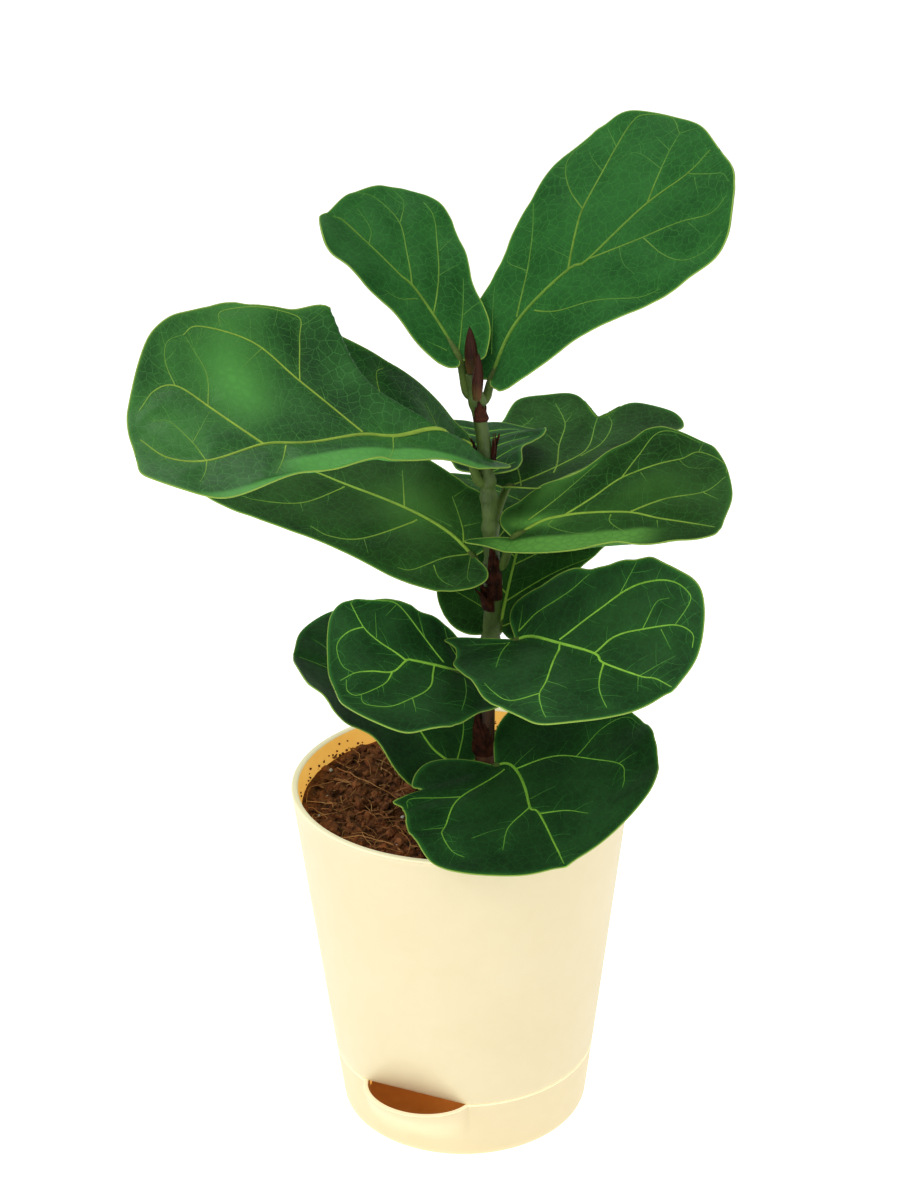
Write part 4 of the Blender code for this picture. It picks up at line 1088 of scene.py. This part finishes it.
def shadeOf(name, leaf, flat):
    # painted highlight and painted shade at each place of the blade, -1 to 1
    total = np.zeros(len(flat))
    for strength, along, across, long, wide, turn in paintedLightPatches.get(name, ()):
        move = flat * 1000 - (along, across)
        c, s = math.cos(math.radians(turn)), math.sin(math.radians(turn))
        apart = ((move[:, 0] * c + move[:, 1] * s) / long) ** 2 + ((move[:, 1] * c - move[:, 0] * s) / wide) ** 2
        total += strength * np.exp(-apart)
    share = np.abs(flat[:, 1]) / halfValue(leaf["wide"], flat[:, 1])
    for half, low, high, begin, strength in paleLitStrips.get(name, ()):
        here = ((flat[:, 1] >= 0) == (half == 0)) * ease(share, begin, begin + 0.12)
        total += strength * here * ease(flat[:, 0] * 1000, low, low + 12) * ease(flat[:, 0] * 1000, high, high - 20)
    return np.clip(total, -1, 1)


def insideMargin(point, polygon):
    x, y = point
    x1, y1 = polygon[:, 0], polygon[:, 1]
    x2, y2 = np.roll(x1, -1), np.roll(y1, -1)
    crosses = ((y1 > y) != (y2 > y)) & (x < (x2 - x1) * (y - y1) / np.where(y2 == y1, 1e-12, y2 - y1) + x1)
    return crosses.sum() % 2 == 1


def makeLeaf(name, leaf):
    b = bladeShape
    index = list(leaves).index(name)
    draw = random.Random(40 + index)
    ribLines = [(row[0] / 1000, np.array(row[1:]) / 1000) for row in veins.get(name) or sparePattern(leaf)]
    smooth = []
    for half, line in ribLines:
        length = np.linalg.norm(np.diff(line, axis=0), axis=1).sum()
        smooth.append((half, curvedLine(line, max(6, int(length / 0.0011)))))
    main = [line for half, line in smooth if half > 0.00024]

    # the blade: a grid moved onto the outline
    pickNone()
    bpy.ops.mesh.primitive_grid_add(x_subdivisions=2 * b["columns"], y_subdivisions=b["rows"], size=2)
    blade = bpy.context.active_object
    blade.name = blade.data.name = name + "_blade"
    start = coords(blade)
    place = (start[:, 1] + 1) / 2 * 0.9965 + 0.0025
    count = b["outlinePoints"]
    flat = np.zeros((len(start), 2))
    margins = []
    for half, sign in ((0, 1), (1, -1)):
        margin = leafMargin(name, leaf, half, count)
        margins.append(np.column_stack([margin[:, 0] * leaf["length"], sign * margin[:, 1]]))
        here = start[:, 0] * -sign >= 0
        marks = np.linspace(0, 1, count)
        edge = np.stack([np.interp(place[here], marks, margins[half][:, axis]) for axis in (0, 1)], -1)
        back = tipNotches.get(name, 0) * place[here] ** 8
        middle = np.column_stack([(place[here] - back) * leaf["length"], 0 * place[here]])
        flat[here] = middle + (edge - middle) * np.abs(start[here, 0])[:, None]
    points, far = leafSurface(name, leaf, flat, main)
    setCoords(blade, turnPlant(points))
    setAttribute(blade, "rib", np.exp(-(far / b["ribSpread"]) ** 1.3))
    # the shade attribute carries the painted highlights and painted shade of the blade
    setAttribute(blade, "shade", shadeOf(name, leaf, flat))
    rim = flatDistance(flat, margins)
    setAttribute(blade, "rim", np.exp(-(rim / b["rimSpread"]) ** 2))
    layer = blade.data.uv_layers.active or blade.data.uv_layers.new(name="UVMap")
    corner = np.array([loop.vertex_index for loop in blade.data.loops])
    layer.data.foreach_set("uv", (flat[corner] / b["uvSpan"] + (0.12 + 0.013 * index, 0.5)).ravel())
    for material in leafFinish[leaf["tone"]]:
        blade.data.materials.append(material)
    solid = blade.modifiers.new("thickness", "SOLIDIFY")
    solid.thickness = b["thick"]
    solid.offset = -1
    solid.use_even_offset = False
    solid.material_offset = 1
    solid.material_offset_rim = 2
    applyAll(blade)
    finishPiece(blade, slotOf(leaf), [name], smooth=50)

    # ribs, small twigs, the thickened margin and the stalk
    polygon = np.concatenate([margins[0], margins[1][::-1]])
    for number, (half, line) in enumerate(smooth):
        last = max([k for k, point in enumerate(line) if insideMargin(point, polygon)] or [len(line) - 1])
        smooth[number] = (half, line[:max(last, 4) + 1])
    twigs = []
    for half, line in smooth:
        if half < 0.0002 or len(line) < 10:
            continue
        side = 1
        step = int(draw.uniform(4, 8))
        while step < len(line) - 2:
            ahead = line[step + 1] - line[step]
            angle = math.atan2(ahead[1], ahead[0]) + side * math.radians(draw.uniform(48, 78))
            reach, turn = draw.uniform(0.004, 0.011), -side * draw.uniform(0.1, 0.7)
            twig = [line[step]]
            for k in range(1, 9):
                move = reach / 8 * np.array([math.cos(angle + turn * k / 8), math.sin(angle + turn * k / 8)])
                if not insideMargin(twig[-1] + move * 1.5, polygon):
                    break
                twig.append(twig[-1] + move)
            if len(twig) > 3:
                twigs.append((draw.uniform(0.00008, 0.00015), np.array(twig)))
            side = -side
            step += int(draw.uniform(3, 7))
    tubes = []
    allLines = [line for half, line in smooth + twigs] + [margin[12:-4:6] for margin in margins]
    together, _ = leafSurface(name, leaf, np.concatenate(allLines), main)
    surfaces = np.split(together, np.cumsum([len(line) for line in allLines])[:-1])
    for number, (half, line) in enumerate(smooth + twigs):
        surface = surfaces[number]
        share = np.linspace(0, 1, len(line))
        taper = 1 - (0.72 if number == 0 else 0.62) * share ** (0.8 if number else 1.0)
        sunk = surface - np.array([0, 0, 0.35]) * (half * taper)[:, None]
        strength = np.clip(half * taper / 0.00055, 0.08, 1) if number < len(smooth) else np.full(len(line), 0.04)
        tubes.append((turnPlant(sunk), half * taper, strength))
    for surface in surfaces[-2:]:
        tubes.append((turnPlant(surface - np.array([0, 0, b["thick"] * 0.4])), b["marginTube"], 1.6))
    finishPiece(tubeLines(name + "_veins", tubes, 6), slotOf(leaf), (), 60, ribFinish[leaf["tone"]])
    makeStalk(name, leaf, main)


def slotOf(leaf):
    return "young_leaf" if leaf["tone"] == "young" else "leaf"


def sparePattern(leaf):
    # veins of a leaf that is mostly hidden: a midrib and curved pairs of laterals
    long = leaf["length"] * 1000
    rows = [(0.9, (0, 0), (long * 0.5, 0.6), (long * 0.97, 0))]
    for at, lean in ((0.02, 0.10), (0.16, 0.30), (0.38, 0.26), (0.60, 0.20), (0.78, 0.12)):
        for half, sign in ((0, 1), (1, -1)):
            wide = leaf["wide"][half] * 1000 * (0.72 if at > 0.1 else 0.42) * (1 - 0.5 * max(at - 0.5, 0))
            begin = long * (at + 0.02 * sign)
            middle = (begin + 0.55 * lean * long, sign * wide * 0.5)
            rows.append((0.45, (begin, 0), middle, (begin + lean * long, sign * wide)))
    return rows


def makeStalk(name, leaf, main):
    sides, count = 20, 60
    centre = stemPoint(leaf["node"])
    blade, _ = leafSurface(name, leaf, main[0][[0, 5, 11]], main)
    out = blade[0] - centre
    flatOut = np.array([out[0], out[1], 0.0])
    flatOut /= max(np.linalg.norm(flatOut), 1e-6)
    bark = float(stemRadius(leaf["node"]))
    foot = centre + flatOut * bark * 0.5
    knee = centre + flatOut * (bark + 0.0022) + np.array([0, 0, min(0.002, 0.4 * max(out[2], 0))])
    sunk = blade - np.array([[0, 0, 0.0006], [0, 0, 0.0010], [0, 0, 0.0014]])
    line = curvedLine([foot, knee, *sunk], count)
    share = np.linspace(0, 1, count)
    radius = 0.0021 - 0.0012 * ease(share, 0.1, 1.0) + 0.0006 * np.exp(-(share / 0.08) ** 2)
    stalk = tubeLines(name + "_stalk", [(turnPlant(line), radius, 1 - share)], sides)
    points = coords(stalk)
    middle = turnPlant(line)[np.arange(len(points)) // sides]
    lumps = bumpNoise(points, 900, 2.3 * list(leaves).index(name))
    setCoords(stalk, middle + (points - middle) * (1 + 0.05 * lumps)[:, None])
    finishPiece(stalk, slotOf(leaf), (), 70, stalkStuff)


# leaf finishes: a row of colours for each tone, then its roughness; the first two colours are a painted highlight and a
# painted shade
toneParts = ("lit", "paintedShade", "low", "high", "net", "rib", "faint", "rough")
toneRows = {
    "young": (
        (0.045, 0.205, 0.045), (0.012, 0.070, 0.012), (0.012, 0.070, 0.014), (0.032, 0.155, 0.031),
        (0.06, 0.30, 0.05), (0.165, 0.330, 0.038), (0.065, 0.27, 0.045), (0.40, 0.52),
    ),
    "bright": (
        (0.105, 0.400, 0.068), (0.008, 0.044, 0.010), (0.010, 0.064, 0.011), (0.038, 0.175, 0.030),
        (0.09, 0.34, 0.07), (0.34, 0.52, 0.065), (0.10, 0.33, 0.055), (0.30, 0.42),
    ),
    "mid": (
        (0.170, 0.460, 0.080), (0.010, 0.036, 0.008), (0.012, 0.042, 0.009), (0.036, 0.112, 0.023),
        (0.06, 0.24, 0.05), (0.34, 0.56, 0.065), (0.075, 0.28, 0.050), (0.34, 0.46),
    ),
    "dark": (
        (0.040, 0.150, 0.030), (0.005, 0.026, 0.006), (0.011, 0.040, 0.011), (0.029, 0.100, 0.026),
        (0.03, 0.18, 0.04), (0.33, 0.70, 0.070), (0.060, 0.30, 0.050), (0.34, 0.46),
    ),
}
tones = {toneName: dict(zip(toneParts, row)) for toneName, row in toneRows.items()}


def leafTop(name, tone, under=False):
    # mottled green, and over it in turn: painted highlights and painted shade, broad ribs, the two nets and the margin
    material, add, shader = startMaterial(name)
    uv = add("ShaderNodeTexCoord").outputs["UV"]
    rib, rim, shade = (readValue(add, layer) for layer in ("rib", "rim", "shade"))
    low, high = tone["low"], tone["high"]
    if under:
        low = tuple(a + 1.6 * c for a, c in zip((0.02, 0.05, 0.01), low))
        high = tuple(a + 1.6 * c for a, c in zip((0.03, 0.07, 0.015), high))
    colour = useGroup(add, mottle, Vector=uv, Scale=9.0, Low=low, High=high, Sharp=1.0)["Color"]
    net = useGroup(add, veinNet, Vector=uv, Cells=52.0, Line=0.045)
    # the painted highlight is broken into small bright cells, a painted sheen on the puckers
    cells = calc(add, "ADD", times(add, net["Puff"], 0.22), 0.88)
    for share, over in (
        (times(add, shade, cells, True), "lit"),
        (times(add, shade, -1.0, True), "paintedShade"),
        (times(add, rib, 0.13), "faint"),
        (times(add, net["Lines"], 0.55), "net"),
        (times(add, net["Fine"], 0.20), "net"),
        (times(add, rim, 0.55), "faint"),
    ):
        colour = mixColour(add, share, colour, tone[over])
    smooth, dull = (value + 0.2 * under for value in tone["rough"])
    grains = useGroup(add, grain, Vector=uv, Scale=260.0, Rough_low=smooth, Rough_high=dull)
    raised = calc(add, "SUBTRACT", net["Puff"], times(add, net["Fine"], 0.35))
    height = calc(add, "ADD", raised, times(add, grains["Height"], 0.5))
    gloss = 0.22 if tone["rough"][0] < 0.33 else 0.03
    finishShader(add, shader, colour, height, grains["Roughness"], 0.00009, gloss)
    shader.inputs["IOR"].default_value = 1.45
    shader.inputs["Coat Weight"].default_value = 0.0 if under else 0.02
    shader.inputs["Coat Roughness"].default_value = 0.35
    return material


def ribStuff(name, tone):
    # strong veins are pale, weak ones fade into the blade, the margin's line is palest
    material, add, shader = startMaterial(name)
    value = readValue(add, "value")
    place = add("ShaderNodeTexCoord").outputs["Object"]
    low, high = (tuple(factor * c for c in tone["rib"]) for factor in (0.8, 1.15))
    strong = useGroup(add, mottle, Vector=place, Scale=120.0, Low=low, High=high, Sharp=1.0)["Color"]
    colour = mixColour(add, times(add, value, 1.25, True), tone["faint"], strong)
    margin = tuple(0.72 * c for c in (0.42, 0.66, 0.10))
    colour = mixColour(add, aboveLevel(add, value, 1.2, 2.5), colour, margin)
    grains = useGroup(add, grain, Vector=place, Scale=900.0, Rough_low=0.42, Rough_high=0.55)
    finishShader(add, shader, colour, grains["Height"], grains["Roughness"], 0.00008, 0.15)
    return material


leafFinish = {}
ribFinish = {}
for toneName, tone in tones.items():
    leafFinish[toneName] = (
        leafTop(toneName + " leaf face", tone),
        leafTop(toneName + " leaf back", tone, True),
        plainStuff(toneName + " leaf edge", [0.7 * c for c in tone["rib"]], tone["rib"], 90, (0.45, 0.55), 900, 0.00005),
    )
    ribFinish[toneName] = ribStuff(toneName + " leaf veins", tone)
stalkStuff = plainStuff("leaf stalk", (0.055, 0.095, 0.020), (0.130, 0.200, 0.038), 160, (0.50, 0.65), 1400, 0.00012)
for leafName, leaf in leaves.items():
    makeLeaf(leafName, leaf)
print("leaves made")


# stem, sheaths and buds
def makeStem():
    s = stemShape
    top = stemPath[-1][1]
    heights = np.linspace(-0.004, top, s["rings"])
    line = stemPoint(np.maximum(heights, 0))
    line[:, 2] = soilLevel + heights
    radius = stemRadius(heights)
    for leaf in leaves.values():
        radius = radius + s["swell"] * np.exp(-((heights - leaf["node"]) / 0.0022) ** 2)
        radius = radius - 0.35 * s["swell"] * np.exp(-((heights - leaf["node"] - 0.0040) / 0.0009) ** 2)
    root = np.linspace(-s["buried"], -0.005, 20)
    below = np.column_stack([np.full(20, stemPath[0][0]), np.zeros(20), soilLevel + root])
    line = np.vstack([below, line])
    radius = np.concatenate([s["radius"] * np.interp(root, (-s["buried"], -0.005), (0.35, 1.05)), radius])
    age = np.concatenate([np.ones(20), 1 - ease(heights, 0.012, 0.115)])
    stem = tubeLines("fig_stem", [(turnPlant(line), radius, age)], s["sides"])
    points = coords(stem)
    middle = turnPlant(line)[np.arange(len(points)) // s["sides"]]
    out = points - middle
    long = points * np.array([1, 1, 0.25])
    rough = bumpNoise(long, 420, 2.0, 2) * np.repeat(0.35 + 0.9 * age, s["sides"])
    unit = out / np.linalg.norm(out, axis=1)[:, None]
    setCoords(stem, middle + out + unit * (s["rough"] * rough)[:, None])
    finishPiece(stem, "stem", ["stem"], 60, stemStuff)
    lines = []
    for index in range(5):
        angle = fullTurn * (index + 0.3) / 5
        share = np.linspace(0, 1, 16)
        bend = angle + 0.5 * share
        drop = -0.5 * s["buried"] - 0.06 * s["buried"] * index - 0.7 * s["buried"] * share ** 1.6
        reach = 0.033 * share
        path = np.column_stack([stemPath[0][0] + reach * np.cos(bend), reach * np.sin(bend), soilLevel + drop])
        lines.append((turnPlant(path), 0.0016 * (1 - 0.7 * share), 1.0))
    finishPiece(tubeLines("buried_roots", lines, 8), "stem", (), 60, barkStuff)


def changingStuff(name, squash, first, second, start, slope, grainScale, rough, depth, gloss, patchy=0.0):
    # one mottled colour that turns into another as "value" rises, on coordinates stretched along the stem
    material, add, shader = startMaterial(name)
    place = add("ShaderNodeTexCoord").outputs["Object"]
    stretch = add("ShaderNodeMapping", inputs={"Vector": place, "Scale": (1, 1, squash)}).outputs[0]
    colours = [
        useGroup(add, mottle, Vector=stretch, Scale=scale, Low=low, High=high, Sharp=sharp)["Color"]
        for scale, low, high, sharp in (first, second)]
    share = readValue(add, "value")
    if patchy:
        patch = calc(add, "SUBTRACT", noiseAt(add, place, 150.0, 3.0)["Fac"], 0.5)
        share = calc(add, "ADD", share, times(add, patch, patchy))
    colour = mixColour(add, aboveLevel(add, share, start, slope), *colours)
    grains = useGroup(add, grain, Vector=stretch, Scale=grainScale, Rough_low=rough[0], Rough_high=rough[1])
    finishShader(add, shader, colour, grains["Height"], grains["Roughness"], depth, gloss)
    return material


sheathShape = dict(wall=0.00032, gap=0.00035, clear=0.00025, crinkle=0.00045, rows=36, columns=44, layers=3)
sheathRows = (
    dict(foot=0.0230, facing=225, wrap=190, length=0.026, flare=0.0006),
    dict(foot=0.0920, facing=215, wrap=130, length=0.014, flare=0.0060),
    dict(foot=0.0970, facing=270, wrap=150, length=0.026, flare=0.0014),
    dict(foot=0.1540, facing=160, wrap=90, length=0.013, flare=0.0022),
    dict(foot=0.1560, facing=350, wrap=90, length=0.015, flare=0.0022),
    dict(foot=0.1770, facing=290, wrap=150, length=0.009, flare=0.0010),
)


def makeSheath(index, row):
    # a torn papery scale round the stem: overlapping layers with a ragged top
    s = sheathShape
    draw = random.Random(90 + index)
    shells = []
    for layer in range(s["layers"]):
        pickNone()
        bpy.ops.mesh.primitive_grid_add(x_subdivisions=s["columns"], y_subdivisions=s["rows"], size=2)
        shell = bpy.context.active_object
        start = coords(shell)
        across, up = start[:, 0], (start[:, 1] + 1) / 2
        wrap = row["wrap"] * (1 - 0.22 * layer)
        facing = row["facing"] + draw.uniform(-28, 28) * (layer > 0)
        length = row["length"] * (1 - 0.16 * layer * draw.random())
        peak = draw.uniform(-0.35, 0.35)
        seed = index * 4.1 + layer * 1.7
        torn = flatNoise(across, 3.2, seed, 3)
        top = np.clip(1 - 0.75 * np.abs(across - peak) ** 1.1 + 0.42 * torn, 0.22, 1.0)
        height = row["foot"] + length * up * top + 0.0006 * layer
        angle = np.radians(facing + wrap * across / 2 * (1 - 0.45 * (up * top) ** 1.5))
        crinkle = bumpNoise(np.column_stack([across * 2.6, up * 2.2, 0 * up]), 1.0, seed + 5, 2)
        share = up * top
        bark = stemRadius(height)
        radius = bark + s["gap"] * (1 + 1.1 * layer) + row["flare"] * (0.6 + 0.4 * layer) * share ** 2
        radius = np.maximum(radius + s["crinkle"] * crinkle * (0.3 + share), bark + s["clear"])
        points = stemPoint(height) + np.stack([radius * np.cos(angle), radius * np.sin(angle), 0 * radius], -1)
        setCoords(shell, turnPlant(points))
        solid = shell.modifiers.new("thickness", "SOLIDIFY")
        solid.thickness = s["wall"]
        solid.offset = 0
        applyAll(shell)
        shells.append(shell)
    pickNone()
    for shell in shells:
        shell.select_set(True)
    bpy.context.view_layer.objects.active = shells[0]
    bpy.ops.object.join()
    piece = bpy.context.active_object
    piece.name = piece.data.name = f"papery_sheath_{index + 1}"
    tidyFaces(piece, 0.0000005)
    finishPiece(piece, "sheath", [f"leaf_sheath_{index + 1}"], 50, sheathStuff)


budRows = {
    "terminal_bud": dict(
        lift=0.0004, side=0.0000, back=0.0000, lean=-2, length=0.0200, radius=0.0027, name="closed_terminal_bud"),
    "bud_sheath": dict(
        lift=-0.0090, side=0.0018, back=-0.0068, lean=3, length=0.0200, radius=0.0023, name="pointed_bud_sheath"),
}


def makeBud(node, row):
    # a pointed closed bud wrapped by one scale, its edge showing as a spiral step
    shares = np.linspace(0, 1, 60)
    body = row["radius"] * (1 - shares) ** 0.95 * (0.60 + 2.0 * shares) / 0.861
    section = [(max(r, 0.00005), row["length"] * s) for r, s in zip(body, shares)]
    bud = spinSection(row["name"], [(0, 0), *section, (0, row["length"] * 1.002)])
    points = coords(bud)
    angle = np.arctan2(points[:, 1], points[:, 0])
    share = points[:, 2] / row["length"]
    turn = (angle / fullTurn - 0.5 * share) % 1.0
    step = 0.10 * ease(turn, 0.0, 0.9) * ease(turn, 1.0, 0.96)
    groove = 0.025 * np.sin(angle * 14 + 3 * bumpNoise(points, 180, 1.0))
    scale = 0.94 + step + groove
    points[:, 0] *= scale
    points[:, 1] *= scale * 0.92
    tilt = np.array(Matrix.Rotation(math.radians(row["lean"]), 3, "Y"))
    points = points @ tilt.T + stemPoint(stemPath[-1][1]) + np.array([row["side"], row["back"], row["lift"]])
    setCoords(bud, turnPlant(points))
    setAttribute(bud, "value", np.clip(share, 0, 1))
    finishPiece(bud, "bud", [node], 50, budStuff)


stemStuff = changingStuff(
    "fig stem", 0.3, (260.0, (0.045, 0.082, 0.014), (0.110, 0.180, 0.032), 1.2),
    (330.0, (0.030, 0.011, 0.005), (0.130, 0.052, 0.020), 1.5), 0.30, 2.4, 1500.0, (0.50, 0.75), 0.00022, 0.5, 1.3)
budStuff = changingStuff(
    "bud scale", 0.2, (420.0, (0.055, 0.045, 0.012), (0.16, 0.060, 0.018), 1.3),
    (420.0, (0.018, 0.006, 0.004), (0.065, 0.019, 0.009), 1.3), 0.10, 3.5, 1600.0, (0.42, 0.60), 0.00015, 0.15)
barkStuff = plainStuff("root bark", (0.05, 0.022, 0.010), (0.16, 0.075, 0.035), 200, (0.60, 0.80), 1600, 0.0002, 1.2)
sheathStuff = plainStuff(
    "papery sheath", (0.016, 0.0045, 0.0025), (0.085, 0.022, 0.009), 330, (0.55, 0.80), 1700, 0.0002, 1.6)
makeStem()
for number, row in enumerate(sheathRows):
    makeSheath(number, row)
for nodeName, row in budRows.items():
    makeBud(nodeName, row)
print("stem, sheaths and buds made")


# floor, light and camera
studio = dict(
    floor=14.0, floorGlow=0.72, sky=0.45, backdrop=0.97, aim=(0, 0, 0.22), camera=(0.0, -0.9058, 0.6322),
    pitch=0.4024, yaw=-0.0038, roll=-0.0158, lens=69,
)
lamps = {
    "front_softbox": ((-0.75, -1.15, 1.15), 0.9, 7.0),
    "top_softbox": ((-0.30, 0.35, 1.55), 1.0, 6.0),
    "right_softbox": ((1.20, -0.50, 0.90), 0.8, 2.0),
}


def makeStudio():
    pickNone()
    bpy.ops.mesh.primitive_plane_add(size=2 * studio["floor"], location=(0, 0, -0.0004))
    floor = bpy.context.active_object
    floor.name = "studio_floor"
    material, add, shader = startMaterial("studio floor")
    setSocket(material.node_tree, shader.inputs["Base Color"], (0.93, 0.93, 0.93))
    setSocket(material.node_tree, shader.inputs["Emission Color"], (1, 1, 1))
    shader.inputs["Roughness"].default_value = 0.9
    shader.inputs["Emission Strength"].default_value = studio["floorGlow"]
    floor.data.materials.append(material)
    world = bpy.data.worlds.new("studio")
    world.use_nodes = True
    tree = world.node_tree
    add = nodeTree(tree)
    background = tree.nodes["Background"]
    setSocket(tree, background.inputs["Color"], (1, 1, 1))
    # the backdrop itself is near white, the light it gives is softer
    seen = add("ShaderNodeLightPath").outputs["Is Camera Ray"]
    level = add("ShaderNodeMapRange", inputs={"Value": seen, "To Min": studio["sky"], "To Max": studio["backdrop"]})
    setSocket(tree, background.inputs["Strength"], level.outputs["Result"])
    bpy.context.scene.world = world
    for name, (place, size, watts) in lamps.items():
        bpy.ops.object.light_add(type="AREA", location=place)
        lamp = bpy.context.active_object
        lamp.name = name
        lamp.data.size = size
        lamp.data.energy = watts
        lamp.rotation_euler = (Vector(studio["aim"]) - Vector(place)).to_track_quat("-Z", "Y").to_euler()


def makeCamera():
    s = studio
    cp, sp = math.cos(s["pitch"]), math.sin(s["pitch"])
    ahead = Vector((math.sin(s["yaw"]) * cp, math.cos(s["yaw"]) * cp, -sp))
    right = Vector((math.cos(s["yaw"]), -math.sin(s["yaw"]), 0))
    up = right.cross(ahead)
    c, r = math.cos(s["roll"]), math.sin(s["roll"])
    matrix = Matrix((c * right + r * up, c * up - r * right, -ahead)).transposed().to_4x4()
    matrix.translation = Vector(s["camera"])
    camera = bpy.data.objects.new("camera", bpy.data.cameras.new("camera"))
    camera.data.lens = s["lens"]
    camera.data.sensor_width = 36
    camera.data.clip_start = 0.01
    camera.matrix_world = Matrix.Rotation(plantTurn, 4, "Z") @ matrix
    bpy.context.scene.collection.objects.link(camera)
    bpy.context.scene.camera = camera


makeStudio()
makeCamera()
bpy.context.scene.view_settings.view_transform = "Standard"
